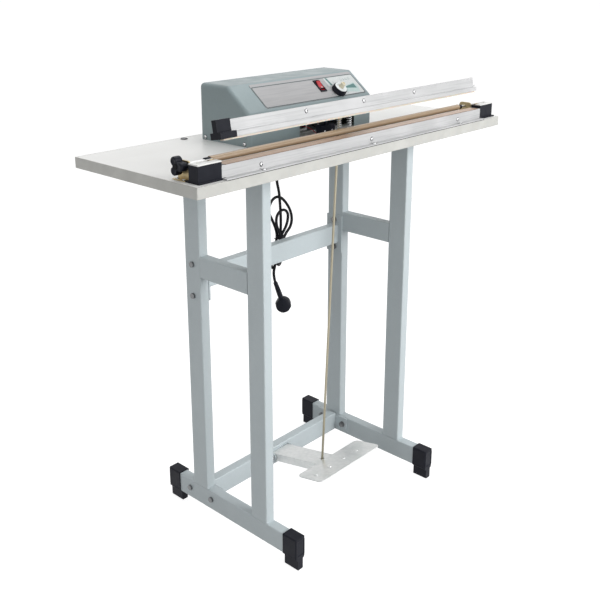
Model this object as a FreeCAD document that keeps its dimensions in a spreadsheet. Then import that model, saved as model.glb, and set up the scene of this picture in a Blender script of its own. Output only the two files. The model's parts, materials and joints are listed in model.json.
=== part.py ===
"""Foot-pedal impulse bag sealer on a tube stand.

The frame is in millimetres: +Z is up, the floor is z = 0, and the origin is on the floor at the
middle of the stand. -Y is the operator's side and +X the operator's right. Moving pieces are
drawn at rest, with the upper jaw open and the pedal up.
"""
import FreeCAD, Part
import math
import os
import re
import Sketcher

Vector = FreeCAD.Vector

SIZES = {
    # Stand
    "stand_width": 516, "stand_depth": 434, "tube_deep": 50, "tube_thin": 25, "tube_wall": 1.5,
    "tube_round": 3, "base_lift": 28, "leg_spread": 250, "rail_low": 618, "mid_rail_mid": 608,
    "lower_tube_mid": 56.5, "plate_thick": 4, "mid_plate_high": 100, "mid_bolt_pitch": 75,
    "low_plate_long": 104, "low_plate_high": 40, "low_bolt_pitch": 76, "strap_wide": 46,
    "strap_long": 310, "strap_thick": 4, "strap_bolt_pitch": 287, "strap_bolt_in": 26,
    # Foot caps
    "cap_wall": 2.5, "cap_end": 4, "cap_grip": 36, "cap_bevel": 5, "foot_wide": 17, "foot_round": 6,
    # Table
    "table_height": 920, "table_length": 1000, "table_depth": 372, "table_thick": 22,
    "table_front": 210, "band_thick": 2, "slot_wide": 24, "slot_front": 85, "slot_long": 38,
    "cable_hole": 18, "cable_x": 36, "cable_back": 316,
    # Bolts
    "bolt_radius": 4, "bolt_head": 6.5, "bolt_head_high": 5, "washer_radius": 8,
    "washer_thick": 1.5, "screw_radius": 2, "screw_head": 3.8, "screw_head_high": 2.4,
    # Housing
    "housing_width": 408, "housing_front": 176, "housing_back": 330, "housing_high": 123,
    "front_high": 70, "slope_run": 66, "sheet_thick": 1.5, "housing_round": 9,
    "mouth_left": 50, "mouth_right": 140, "mouth_high": 64, "flange_high": 12,
    "foot_screw_rise": 6, "foot_screw_front": 15, "foot_screw_back": 16,
    # Panel on the slope
    "panel_left": 146, "panel_right": 190, "panel_low": 7.6, "panel_high": 71.4,
    "panel_thick": 0.8, "panel_round": 5,
    "switch_x": 57, "switch_up": 47, "switch_wide": 20, "switch_long": 36, "bezel_lip": 2,
    "bezel_thick": 2, "switch_deep": 22, "rocker_wide": 13, "rocker_long": 27, "rocker_rise": 4,
    "knob_x": 102, "knob_up": 24, "knob_radius": 18, "knob_high": 13, "knob_lift": 1,
    "hub_radius": 6.5, "hub_high": 12, "spindle_radius": 3, "pot_radius": 12, "pot_deep": 10,
    # Lower jaw
    "bar_inset": 70, "bar_foot_deep": 42, "bar_foot_thick": 3, "bar_web_set": 13,
    "bar_web_wide": 25, "bar_high": 26, "wire_wide": 5,
    "wire_thick": 0.3, "ptfe_thick": 0.6, "jaw_screw_pitch": 331, "block_wide": 56,
    "block_high": 33, "block_flap": 8, "block_foot_front": 10, "block_foot_back": 48,
    "block_foot_thick": 3, "lid_thick": 2.5, "block_slot_front": 26, "block_slot_wide": 7,
    "block_slot_long": 36, "block_slot_deep": 12, "clamp_long": 24, "clamp_high": 8,
    # Film roll behind the lower jaw
    "roll_back": 66, "roll_rise": 26, "roll_radius": 7, "roll_inset": 88, "rod_radius": 3,
    "film_clear": 0.3, "film_inset": 78, "stop_radius": 5.5, "stop_long": 12,
    "left_bracket_in": 27, "right_bracket_in": 52, "bracket_thick": 3, "bracket_wide": 34,
    "bracket_high": 35, "bracket_foot": 14, "star_hub": 8, "star_lobe": 8, "star_reach": 11,
    "star_long": 19, "star_step": 3, "star_grip": 13, "rod_out": 14, "rod_past": 4,
    # Upper jaw and its lever, sized with the jaw shut
    "upper_inset": 85, "jaw_gap": 0.3, "silicone_wide": 9, "silicone_high": 6,
    "silicone_in": 2, "upper_base_wide": 22, "upper_base_high": 9, "upper_web_thick": 6,
    "upper_web_high": 23, "upper_screw_pitch": 180, "upper_screw_shift": 10,
    "upper_screw_rise": 13.5, "end_cap_out": 13.8, "end_cap_in": 26,
    "end_cap_wall": 2.5, "carrier_half": 200, "carrier_thick": 4, "carrier_high": 18,
    "lever_wide": 44, "lever_wall": 3, "lever_under": 38, "lever_bend": 82, "lever_slim": 150,
    "pivot_back": 240, "pivot_rise": 40, "open_angle": 10.5, "pivot_radius": 5,
    "sleeve_radius": 8, "run_clear": 0.05, "side_clear": 0.4, "cheek_thick": 4,
    "cheek_half": 14, "rod_pin_back": 105, "rod_pin_rise": 27.6, "rod_pin_radius": 3,
    "rod_pin_reach": 42, "lug_half": 9,
    # Springs
    "spring_radius": 5.5, "spring_wire": 1.4, "spring_turns": 7, "side_spring_x": 35,
    # Pull rod and pedal
    "pull_rod_radius": 2.8, "eye_radius": 6.5, "eye_wide": 10, "collar_radius": 7,
    "collar_thick": 2, "guide_left": 20, "guide_right": 48, "guide_long": 50,
    "guide_thick": 3, "guide_hole": 4.4, "guide_shift": 1.7,
    "screw_bite": 14, "hole_play": 0.2,
    "pedal_angle": 12, "pedal_pivot_back": 286, "pedal_pivot_high": 64, "pedal_wide": 60,
    "pedal_wall": 2.5, "pedal_side": 20, "pedal_tail": 6, "pedal_reach": 153,
    "pedal_under": 50, "tread_long": 80, "tread_left": 100, "tread_right": 124,
    "tread_round": 12, "dimple_radius": 6, "dimple_high": 1.2, "pedal_hole": 5,
    "rod_meets": 146,
    "ear_thick": 4, "ear_half": 11, "pedal_bolt_radius": 4,
    # Inside the housing
    "core_wide": 66, "core_deep": 40, "core_high": 55, "coil_out": 12, "core_x": -120,
    "board_wide": 70, "board_high": 45, "board_thick": 1.6,
    "trigger_half": 22, "trigger_front": 135, "trigger_deep": 17.5, "trigger_foot": 3,
    "trigger_high": 24, "plunger_radius": 3, "plunger_travel": 3, "plunger_gap": 0.4,
    # Mains cable
    "cable_radius": 3.5, "gland_radius": 8, "gland_long": 16, "gland_grip": 10,
    "hank_clear": 8.5, "hank_thick": 18, "hank_left": 22, "hank_low": 547, "hank_high": 181,
    "lead_shift": 32, "tail_shift": 7, "tail_run": 16, "plug_turn": 47.2, "plug_slant": 18.5,
    "plug_reach": 63, "plug_radius": 19.5, "plug_deep": 26, "relief_radius": 5.4,
    "relief_end": 6.6, "relief_long": 46, "pin_radius": 2.4, "pin_long": 19, "pin_pitch": 19,
}

doc = FreeCAD.newDocument("bag_sealer")
sheet = doc.addObject("Spreadsheet::Sheet", "sizes")
for row, (size_name, size_value) in enumerate(SIZES.items(), start=1):
    sheet.set("A%d" % row, size_name)
    sheet.set("B%d" % row, str(size_value))
    sheet.setAlias("B%d" % row, size_name)
doc.recompute()

SPRING_STEPS = 10
WIRE_SIDES = 6
SIZE_WORD = re.compile(r"[a-z]+(?:_[a-z]+)+")
AXIS_TURN = {
    "X": FreeCAD.Rotation(Vector(0, 1, 0), 90),
    "Y": FreeCAD.Rotation(Vector(1, 0, 0), -90),
    "Z": FreeCAD.Rotation(),
}
nodes = []


def bound(expression):
    """The expression with the sheet's name before each size."""
    return SIZE_WORD.sub(lambda word: "sizes." + word.group(), str(expression))


def value(expression):
    """The expression's number, in millimetres or degrees."""
    return float(sheet.evalExpression(str(expression)))


def node(label, piece):
    """Registers a finished sub-part under the name of its file."""
    piece.Label = label
    nodes.append(piece)
    return piece


def box(name, low, high):
    """A box from one corner to the opposite one, each given as three expressions."""
    piece = doc.addObject("Part::Box", name)
    for side, start, end in zip(("Length", "Width", "Height"), low, high):
        piece.setExpression(side, bound("(%s) - (%s)" % (end, start)))
    for axis, start in zip("xyz", low):
        piece.setExpression("Placement.Base." + axis, bound(start))
    return piece


def cylinder(name, radius, start, length, axis="Z"):
    """A cylinder that grows along an axis from its first end's centre."""
    piece = doc.addObject("Part::Cylinder", name)
    piece.Placement = FreeCAD.Placement(Vector(), AXIS_TURN[axis])
    piece.setExpression("Radius", bound(radius))
    piece.setExpression("Height", bound(length))
    for letter, where in zip("xyz", start):
        piece.setExpression("Placement.Base." + letter, bound(where))
    return piece


def hexagon(name, across, start, length, axis="Z"):
    """A hexagonal prism of the given width across its flats."""
    piece = doc.addObject("Part::Prism", name)
    piece.Polygon = 6
    piece.Placement = FreeCAD.Placement(Vector(), AXIS_TURN[axis])
    piece.setExpression("Circumradius", bound("(%s) / sqrt(3)" % across))
    piece.setExpression("Height", bound(length))
    for letter, where in zip("xyz", start):
        piece.setExpression("Placement.Base." + letter, bound(where))
    return piece


def cut(name, base, tool):
    """The base with the tool's space taken out."""
    piece = doc.addObject("Part::Cut", name)
    piece.Base = base
    piece.Tool = tool
    return piece


def fuse(name, pieces):
    """One solid from several that touch."""
    piece = doc.addObject("Part::MultiFuse", name)
    piece.Shapes = pieces
    piece.Refine = True
    return piece


def group(name, pieces):
    """Several solids kept apart in one object."""
    piece = doc.addObject("Part::Compound", name)
    piece.Links = pieces
    return piece


def mirrored(name, source, normal):
    """The source's mirror image across a plane through the origin."""
    piece = doc.addObject("Part::Mirroring", name)
    piece.Source = source
    piece.Normal = Vector(*normal)
    return piece


def origin_plane(body, role):
    """One of a body's own three planes."""
    return next(plane for plane in body.Origin.OriginFeatures if plane.Role == role)


def new_sketch(body, name, role, offset):
    """An empty sketch on a body's own plane, moved along the plane's normal."""
    sketch = body.newObject("Sketcher::SketchObject", name)
    sketch.AttachmentSupport = [(origin_plane(body, role), "")]
    sketch.MapMode = "FlatFace"
    sketch.setExpression("AttachmentOffset.Base.z", bound(offset))
    return sketch


def draw_outline(sketch, points):
    """A closed outline whose corners are held by the sheet's sizes."""
    first = sketch.GeometryCount
    count = len(points)
    corners = [Vector(value(across), value(up), 0) for across, up in points]
    for index in range(count):
        sketch.addGeometry(Part.LineSegment(corners[index], corners[(index + 1) % count]), False)
    for index in range(count):
        after = first + (index + 1) % count
        sketch.addConstraint(Sketcher.Constraint("Coincident", first + index, 2, after, 1))
    for index, (across, up) in enumerate(points):
        for kind, expression in (("DistanceX", across), ("DistanceY", up)):
            fixed = Sketcher.Constraint(kind, -1, 1, first + index, 1, value(expression))
            number = sketch.addConstraint(fixed)
            sketch.setExpression("Constraints[%d]" % number, bound(expression))


def draw_circle(sketch, centre, radius):
    """A circle whose centre and radius are held by the sheet's sizes."""
    middle = Vector(value(centre[0]), value(centre[1]), 0)
    index = sketch.addGeometry(Part.Circle(middle, Vector(0, 0, 1), value(radius)), False)
    for kind, expression in (("DistanceX", centre[0]), ("DistanceY", centre[1])):
        fixed = Sketcher.Constraint(kind, -1, 1, index, 3, value(expression))
        number = sketch.addConstraint(fixed)
        sketch.setExpression("Constraints[%d]" % number, bound(expression))
    number = sketch.addConstraint(Sketcher.Constraint("Radius", index, value(radius)))
    sketch.setExpression("Constraints[%d]" % number, bound(radius))


def pad(body, sketch, length):
    """Grows a sketch along its plane's normal."""
    feature = body.newObject("PartDesign::Pad", sketch.Name + "_pad")
    feature.Profile = sketch
    feature.setExpression("Length", bound(length))
    doc.recompute()
    return feature


def pocket(body, sketch, length):
    """Cuts a sketch into the body, along its plane's normal."""
    before = body.Shape.Volume
    feature = body.newObject("PartDesign::Pocket", sketch.Name + "_pocket")
    feature.Profile = sketch
    feature.Reversed = True
    feature.setExpression("Length", bound(length))
    doc.recompute()
    if body.Shape.Volume > before - 1e-6:
        raise RuntimeError("%s cuts nothing" % sketch.Name)
    return feature


def prism(name, role, points, start, length, holes=()):
    """A body padded from an outline, with inner outlines left open."""
    body = doc.addObject("PartDesign::Body", name)
    sketch = new_sketch(body, name + "_outline", role, start)
    draw_outline(sketch, points)
    for hole in holes:
        draw_outline(sketch, hole)
    pad(body, sketch, length)
    return body


def edge_ends(edge):
    """The two ends of an edge, or none for a closed one."""
    return [vertex.Point for vertex in edge.Vertexes]


def round_edges(body, wanted, radius, name="rounds"):
    """Fillets the body's straight edges that the wanted test picks by their ends."""
    tip = body.Tip
    names = []
    for number, edge in enumerate(tip.Shape.Edges, start=1):
        ends = edge_ends(edge)
        if len(ends) == 2 and wanted(*ends):
            names.append("Edge%d" % number)
    if not names:
        raise RuntimeError("%s has no edge to round" % body.Label)
    fillet = body.newObject("PartDesign::Fillet", body.Name + "_" + name)
    fillet.Base = (tip, names)
    fillet.setExpression("Radius", bound(radius))
    doc.recompute()
    return fillet


def along(direction):
    """A test for edges that run along a direction."""
    goal = Vector(*direction)

    def wanted(first, second):
        run = second - first
        return run.Length > 1e-6 and abs(abs(run.dot(goal)) - run.Length) < 1e-6
    return wanted


def outer_along(direction, shape):
    """A test for edges along a direction that lie on the shape's outer corners."""
    runs = along(direction)
    limits = shape.BoundBox

    def wanted(first, second):
        if not runs(first, second):
            return False
        spans = (
            (first.x, limits.XMin, limits.XMax, direction[0]),
            (first.y, limits.YMin, limits.YMax, direction[1]),
            (first.z, limits.ZMin, limits.ZMax, direction[2]),
        )
        return all(skip or min(abs(at - low), abs(at - high)) < 1e-4
                   for at, low, high, skip in spans)
    return wanted


def rectangle(low, high):
    """Four corners of an upright rectangle, from two opposite ones."""
    return [(low[0], low[1]), (high[0], low[1]), (high[0], high[1]), (low[0], high[1])]


ROLES = {"X": "YZ_Plane", "Y": "XZ_Plane", "Z": "XY_Plane"}
DIRECTIONS = {"X": (1, 0, 0), "Y": (0, 1, 0), "Z": (0, 0, 1)}


def tube(name, axis, low, high, start, length):
    """A rectangular tube with rounded corners, between two corners of its section."""
    wall = "tube_wall"
    inner_low = ["(%s) + %s" % (side, wall) for side in low]
    inner_high = ["(%s) - %s" % (side, wall) for side in high]
    hole = rectangle(inner_low, inner_high)
    body = prism(name, ROLES[axis], rectangle(low, high), start, length, [hole])
    round_edges(body, outer_along(DIRECTIONS[axis], body.Shape), "tube_round")
    return body


def turned(piece, degrees, height, back):
    """Swings a piece about a line along X, with its -Y side going up."""
    moved = group(piece.Name + "_moved", [piece])
    turn = FreeCAD.Rotation(Vector(1, 0, 0), -degrees)
    moved.Placement = FreeCAD.Placement(Vector(), turn, Vector(0, back, height))
    return moved


# Places that several pieces share, all from the sizes
FRONT = "(-table_front)"
TOP = "table_height"
UNDER = "(table_height - table_thick)"
LEFT = "(-stand_width / 2)"
BASE_TOP = "(base_lift + tube_deep)"
LEG_TOP = "(%s - strap_thick)" % UNDER
REAR_LEG_MID = "(leg_spread / 2 - tube_deep / 2)"
BAR_END = "(table_length / 2 - bar_inset)"
BLOCK_END = "(table_length / 2 - bar_inset + block_wide)"
ROLL_END = "(table_length / 2 - roll_inset)"
UPPER_END = "(table_length / 2 - upper_inset)"
SLOPE_RISE = "(housing_high - front_high)"
SLOPE_LONG = "sqrt(%s ^ 2 + slope_run ^ 2)" % SLOPE_RISE


def from_front(distance):
    """The Y place at a distance behind the table's front edge."""
    return "(%s - table_front)" % distance


def over_table(rise):
    """The Z place at a height over the table's top."""
    return "(table_height + %s)" % rise


def build_stand():
    """Legs, base tubes, rails and the straps under the table."""
    inner = "(%s + tube_thin)" % LEFT
    front_leg = tube("left_front_leg", "Z", (LEFT, "-leg_spread / 2"),
                     (inner, "tube_deep - leg_spread / 2"), BASE_TOP,
                     "%s - %s" % (LEG_TOP, BASE_TOP))
    leg_holes = [
        cylinder("leg_hole", "bolt_radius + hole_play",
                 (LEFT + " - 1", REAR_LEG_MID, "mid_rail_mid + (%s)" % offset), "tube_thin + 2",
                 "X")
        for offset in ("-mid_bolt_pitch / 2", "mid_bolt_pitch / 2")
    ]
    rear_leg = cut("left_rear_leg", mirrored("plain_rear_leg", front_leg, (0, 1, 0)),
                   group("leg_holes", leg_holes))
    left_legs = group("left_leg_pair", [front_leg, rear_leg])
    right_legs = mirrored("right_leg_pair", left_legs, (1, 0, 0))
    node("legs", group("all_legs", [left_legs, right_legs]))

    base_half = "(stand_depth / 2 - cap_end)"
    plain_base = tube("plain_base", "Y", (LEFT, "base_lift"), (inner, BASE_TOP),
                      "-" + base_half, "2 * " + base_half)
    base_holes = [
        cylinder("base_hole", "bolt_radius + hole_play",
                 (LEFT + " - 1", REAR_LEG_MID + " + (%s)" % offset, "lower_tube_mid"),
                 "tube_thin + 2", "X")
        for offset in ("-low_bolt_pitch / 2", "low_bolt_pitch / 2")
    ]
    left_base = cut("left_base", plain_base, group("base_holes", base_holes))
    right_base = mirrored("right_base", left_base, (1, 0, 0))
    node("base_tubes", group("base_pair", [left_base, right_base]))

    rail_half = "(leg_spread / 2 - tube_deep)"
    left_rail = tube("left_rail", "Y", (LEFT, "rail_low"), (inner, "rail_low + tube_deep"),
                     "-" + rail_half, "2 * " + rail_half)
    right_rail = mirrored("right_rail", left_rail, (1, 0, 0))
    node("side_rails", group("rail_pair", [left_rail, right_rail]))
    return inner


def build_cross_tubes(inner):
    """The two tubes that join the side frames, each with a bolted plate on both ends."""
    reach = "(stand_width / 2 - tube_thin - plate_thick)"
    rail_low = (REAR_LEG_MID + " - tube_thin / 2", "mid_rail_mid - tube_deep / 2")
    rail_high = (REAR_LEG_MID + " + tube_thin / 2", "mid_rail_mid + tube_deep / 2")
    rail = tube("mid_tube", "X", rail_low, rail_high, "-" + reach, "2 * " + reach)
    rail_plate = box("mid_plate",
                     (inner, REAR_LEG_MID + " - tube_deep / 2", "mid_rail_mid - mid_plate_high / 2"),
                     ("-" + reach, REAR_LEG_MID + " + tube_deep / 2",
                      "mid_rail_mid + mid_plate_high / 2"))
    rail_holes = [
        cylinder("mid_plate_hole", "bolt_radius + hole_play",
                 (inner + " - 1", REAR_LEG_MID, "mid_rail_mid + (%s)" % offset), "plate_thick + 2",
                 "X")
        for offset in ("-mid_bolt_pitch / 2", "mid_bolt_pitch / 2")
    ]
    drilled = cut("mid_plate_drilled", rail_plate, group("mid_plate_holes", rail_holes))
    far_plate = mirrored("mid_plate_right", drilled, (1, 0, 0))
    node("mid_rail", fuse("mid_rail_welded", [rail, drilled, far_plate]))

    low_low = (REAR_LEG_MID + " - tube_thin / 2", "lower_tube_mid - tube_deep / 2")
    low_high = (REAR_LEG_MID + " + tube_thin / 2", "lower_tube_mid + tube_deep / 2")
    low = tube("low_tube", "X", low_low, low_high, "-" + reach, "2 * " + reach)
    low_plate = box("low_plate",
                    (inner, REAR_LEG_MID + " - low_plate_long / 2",
                     "lower_tube_mid - low_plate_high / 2"),
                    ("-" + reach, REAR_LEG_MID + " + low_plate_long / 2",
                     "lower_tube_mid + low_plate_high / 2"))
    low_holes = [
        cylinder("low_plate_hole", "bolt_radius + hole_play",
                 (inner + " - 1", REAR_LEG_MID + " + (%s)" % offset, "lower_tube_mid"),
                 "plate_thick + 2", "X")
        for offset in ("-low_bolt_pitch / 2", "low_bolt_pitch / 2")
    ]
    drilled = cut("low_plate_drilled", low_plate, group("low_plate_holes", low_holes))
    far_plate = mirrored("low_plate_right", drilled, (1, 0, 0))
    node("lower_tube", fuse("lower_tube_welded", [low, drilled, far_plate]))


def build_frame_bolts(inner):
    """Bolts through the rear legs and the base tubes, with a nut on each plate."""
    places = [(REAR_LEG_MID, "mid_rail_mid + (%s)" % offset)
              for offset in ("-mid_bolt_pitch / 2", "mid_bolt_pitch / 2")]
    places += [(REAR_LEG_MID + " + (%s)" % offset, "lower_tube_mid")
               for offset in ("-low_bolt_pitch / 2", "low_bolt_pitch / 2")]
    plate_face = inner + " + plate_thick"
    bolts = []
    for back, high in places:
        head = cylinder("bolt_head", "bolt_head", (LEFT + " - bolt_head_high", back, high),
                        "bolt_head_high", "X")
        shank = cylinder("bolt_shank", "bolt_radius", (LEFT, back, high),
                         "tube_thin + plate_thick + washer_thick + bolt_head_high + 2", "X")
        washer = cylinder("bolt_washer", "washer_radius", (plate_face, back, high),
                          "washer_thick", "X")
        nut = hexagon("bolt_nut", "2 * bolt_head", (plate_face + " + washer_thick", back, high),
                      "bolt_head_high", "X")
        bolts.append(fuse("frame_bolt", [head, shank, washer, nut]))
    left_bolts = group("left_bolts", bolts)
    right_bolts = mirrored("right_bolts", left_bolts, (1, 0, 0))
    node("frame_bolts", group("all_frame_bolts", [left_bolts, right_bolts]))


def build_foot_caps():
    """The plastic caps on the base tubes' ends, each with a rounded foot under it."""
    mid = "(%s + tube_thin / 2)" % LEFT
    half = "(tube_thin / 2 + cap_wall)"
    low = "(base_lift - cap_wall)"
    foot = "(foot_wide / 2)"
    outline = [
        (mid + " - " + half, BASE_TOP + " + cap_wall"),
        (mid + " - " + half, low + " + cap_bevel"),
        (mid + " - " + half + " + cap_bevel", low),
        (mid + " - " + foot, low),
        (mid + " - " + foot, "0"),
        (mid + " + " + foot, "0"),
        (mid + " + " + foot, low),
        (mid + " + " + half + " - cap_bevel", low),
        (mid + " + " + half, low + " + cap_bevel"),
        (mid + " + " + half, BASE_TOP + " + cap_wall"),
    ]
    cap = prism("foot_cap", "XZ_Plane", outline, "stand_depth / 2 - cap_grip - cap_end",
                "cap_grip + cap_end")
    limits = cap.Shape.BoundBox

    def rounded(first, second):
        low_long = along((0, 1, 0))(first, second) and first.z < 1e-6
        front_post = along((0, 0, 1))(first, second) and abs(first.y - limits.YMin) < 1e-6
        top_side = along((0, 1, 0))(first, second) and abs(first.z - limits.ZMax) < 1e-6
        return low_long or (front_post and first.z + second.z > 60) or top_side
    round_edges(cap, rounded, "cap_wall")
    seat = new_sketch(cap, "cap_seat", "XZ_Plane", "stand_depth / 2 - cap_grip - cap_end")
    draw_outline(seat, rectangle((LEFT, "base_lift"), (LEFT + " + tube_thin", BASE_TOP)))
    pocket(cap, seat, "cap_grip")
    rear = mirrored("rear_cap", cap, (0, 1, 0))
    left_pair = group("left_caps", [cap, rear])
    right_pair = mirrored("right_caps", left_pair, (1, 0, 0))
    node("foot_caps", group("all_caps", [left_pair, right_pair]))


def build_straps():
    """The flat straps welded on the legs' tops, which carry the table on four bolts."""
    half = "(strap_long / 2)"
    strap = box("strap", (LEFT, "-" + half, LEG_TOP), (LEFT + " + strap_wide", half, UNDER))
    bolt_x = "(%s + strap_bolt_in)" % LEFT
    holes = []
    bolts = []
    for side in ("-", ""):
        back = side + "strap_bolt_pitch / 2"
        holes.append(cylinder("strap_hole", "bolt_radius + hole_play",
                              (bolt_x, back, LEG_TOP + " - 1"), "strap_thick + 2"))
        head = cylinder("table_bolt_head", "bolt_head", (bolt_x, back, TOP),
                        "screw_head_high")
        shank = cylinder("table_bolt_shank", "bolt_radius",
                         (bolt_x, back, LEG_TOP + " - washer_thick - bolt_head_high - 2"),
                         "table_thick + strap_thick + washer_thick + bolt_head_high + 2")
        nut = hexagon("table_bolt_nut", "2 * bolt_head",
                      (bolt_x, back, LEG_TOP + " - washer_thick - bolt_head_high"),
                      "bolt_head_high")
        washer = cylinder("table_bolt_washer", "washer_radius",
                          (bolt_x, back, LEG_TOP + " - washer_thick"), "washer_thick")
        bolts.append(fuse("table_bolt", [head, shank, nut, washer]))
    drilled = cut("strap_drilled", strap, group("strap_holes", holes))
    node("table_straps", group("strap_pair", [drilled, mirrored("right_strap", drilled, (1, 0, 0))]))
    left_bolts = group("left_table_bolts", bolts)
    node("table_bolts",
         group("all_table_bolts", [left_bolts, mirrored("right_table_bolts", left_bolts, (1, 0, 0))]))
    return bolt_x


def build_table(bolt_x):
    """The board with its slot for the lever, and the band round its edge."""
    half = "(table_length / 2)"
    back = from_front("table_depth")
    board_half = "(%s - band_thick)" % half
    board = prism("board", "XY_Plane",
                  rectangle(("-" + board_half, FRONT + " + band_thick"),
                            (board_half, back + " - band_thick")), UNDER, "table_thick")
    slot = new_sketch(board, "lever_slot", "XY_Plane", UNDER)
    draw_outline(slot, rectangle(("-slot_wide / 2", from_front("slot_front")),
                                 ("slot_wide / 2", from_front("(slot_front + slot_long)"))))
    pocket(board, slot, "table_thick")
    round_edges(board, lambda first, second: along((0, 0, 1))(first, second)
                and abs(first.x) < value("slot_wide / 2") + 1, "tube_round")
    holes = new_sketch(board, "board_holes", "XY_Plane", UNDER)
    draw_circle(holes, ("cable_x", from_front("cable_back")), "cable_hole / 2")
    for side_x in ("(-1) * ", ""):
        for side_y in ("(-1) * ", ""):
            draw_circle(holes, (side_x + bolt_x, side_y + "strap_bolt_pitch / 2"),
                        "bolt_radius + hole_play")
    pocket(board, holes, "table_thick")
    pilots = new_sketch(board, "board_pilots", "XY_Plane", TOP + " - screw_bite")
    for step in (-1, 0, 1):
        draw_circle(pilots, ("%d * jaw_screw_pitch" % step, from_front("6")), "screw_radius")
    pocket(board, pilots, "screw_bite")
    node("table_top", board)
    outline = rectangle(("-" + half, FRONT), (half, back))
    hole = rectangle(("-" + board_half, FRONT + " + band_thick"),
                     (board_half, back + " - band_thick"))
    band = prism("band", "XY_Plane", outline, UNDER, "table_thick", [hole])
    round_edges(band, outer_along((0, 0, 1), band.Shape), "band_thick")
    node("edge_band", band)


def slope_angle():
    """The sloped front's angle from level, in degrees."""
    return math.degrees(math.atan2(value("housing_high - front_high"), value("slope_run")))


def on_slope(piece):
    """Seats a piece drawn flat, with X across and Y up the slope, on the sloped front."""
    corner = Vector(0, value(from_front("housing_front")), value(over_table("front_high")))
    moved = group(piece.Name + "_moved", [piece])
    moved.Placement = FreeCAD.Placement(corner, FreeCAD.Rotation(Vector(1, 0, 0), slope_angle()))
    return moved


def housing_form(name, inset, low, radius):
    """The housing's form drawn in by an inset, with every bend above the table rounded."""
    half = "(housing_width / 2 - %s)" % inset
    ease_low = "%s * (%s - %s) / slope_run" % (inset, SLOPE_LONG, SLOPE_RISE)
    ease_top = "%s * (%s - slope_run) / %s" % (inset, SLOPE_LONG, SLOPE_RISE)
    front = from_front("(housing_front + %s)" % inset)
    back = from_front("(housing_back - %s)" % inset)
    top = over_table("(housing_high - %s)" % inset)
    profile = [
        (front, low), (back, low), (back, top),
        (from_front("(housing_front + slope_run + %s)" % ease_top), top),
        (front, over_table("(front_high - %s)" % ease_low)),
    ]
    form = prism(name, "YZ_Plane", profile, "-" + half, "2 * " + half)
    lowest = form.Shape.BoundBox.ZMin
    round_edges(form, lambda first, second: max(first.z, second.z) > lowest + 1e-3, radius)
    return form


def build_housing():
    """The folded sheet cover, open below, with a mouth in front for the lever."""
    half = "(housing_width / 2)"
    outer = housing_form("cover", "0", TOP, "housing_round")
    inner = housing_form("cover_space", "sheet_thick", TOP + " - 1",
                         "housing_round - sheet_thick")
    front = from_front("housing_front")
    mouth = box("mouth", ("-mouth_left", front + " - 5", TOP + " - 1"),
                ("mouth_right", front + " + 5", over_table("mouth_high")))
    holes = [
        cylinder("foot_screw_hole", "screw_radius + hole_play",
                 ("-" + half + " - 1", from_front(back), over_table("foot_screw_rise")),
                 "housing_width + 2", "X")
        for back in ("(housing_front + foot_screw_front)", "(housing_back - foot_screw_back)")
    ]

    cutter_switch = on_slope(box(
        "switch_cutter",
        ("switch_x - switch_wide / 2 + bezel_lip", "switch_up - switch_long / 2 + bezel_lip",
         "-10"),
        ("switch_x + switch_wide / 2 - bezel_lip", "switch_up + switch_long / 2 - bezel_lip",
         "10")))
    cutter_knob = on_slope(cylinder("spindle_cutter", "spindle_radius + 1",
                                    ("knob_x", "knob_up", "-10"), "20"))
    cutters = group("cover_cutters", [mouth, cutter_switch, cutter_knob] + holes)
    node("housing_cover", cut("cover_cut", cut("cover_hollow", outer, inner), cutters))

    panel = doc.addObject("PartDesign::Body", "panel")
    face = new_sketch(panel, "panel_face", "XY_Plane", "0")
    draw_outline(face, rectangle(("-panel_left", "panel_low"),
                                 ("panel_right", "panel_low + panel_high")))
    pad(panel, face, "panel_thick")
    round_edges(panel, outer_along((0, 0, 1), panel.Shape), "panel_round")
    openings = new_sketch(panel, "panel_openings", "XY_Plane", "0")
    draw_outline(openings, rectangle(
        ("switch_x - switch_wide / 2 + bezel_lip", "switch_up - switch_long / 2 + bezel_lip"),
        ("switch_x + switch_wide / 2 - bezel_lip", "switch_up + switch_long / 2 - bezel_lip")))
    draw_circle(openings, ("knob_x", "knob_up"), "spindle_radius + 1")
    pocket(panel, openings, "panel_thick")
    node("panel_plate", on_slope(panel))


def build_chassis():
    """The tray on the table that carries the lever's bracket and the electrical parts."""
    half = "(housing_width / 2 - sheet_thick)"
    front = from_front("(housing_front + sheet_thick + 40)")
    back = from_front("(housing_back - housing_round)")
    top = over_table("sheet_thick")
    floor_sheet = box("tray_floor", ("-" + half, front, TOP), (half, back, top))
    flange = box("tray_flange", ("-" + half, from_front("(housing_front + housing_round)"), TOP),
                 ("-" + half + " + sheet_thick", back, over_table("flange_high")))
    holes = [
        cylinder("flange_hole", "screw_radius",
                 ("-" + half + " - 1", from_front(place), over_table("foot_screw_rise")),
                 "sheet_thick + 2", "X")
        for place in ("(housing_front + foot_screw_front)", "(housing_back - foot_screw_back)")
    ]
    side = cut("flange_drilled", flange, group("flange_holes", holes))
    tray = fuse("tray", [floor_sheet, side, mirrored("tray_side", side, (1, 0, 0))])
    cable = cylinder("tray_cable_hole", "cable_hole / 2",
                     ("cable_x", from_front("cable_back"), TOP + " - 1"), "sheet_thick + 2")
    node("chassis_tray", cut("tray_cut", tray, cable))

    screws = []
    for place in ("(housing_front + foot_screw_front)", "(housing_back - foot_screw_back)"):
        start = "-housing_width / 2"
        head = cylinder("cover_screw_head", "screw_head",
                        (start + " - screw_head_high", from_front(place),
                         over_table("foot_screw_rise")), "screw_head_high", "X")
        shank = cylinder("cover_screw_shank", "screw_radius",
                         (start, from_front(place), over_table("foot_screw_rise")),
                         "2 * sheet_thick + 4", "X")
        screws.append(fuse("cover_screw", [head, shank]))
    left = group("left_cover_screws", screws)
    node("cover_screws", group("all_cover_screws", [left, mirrored("right_cover_screws", left,
                                                                   (1, 0, 0))]))


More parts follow.
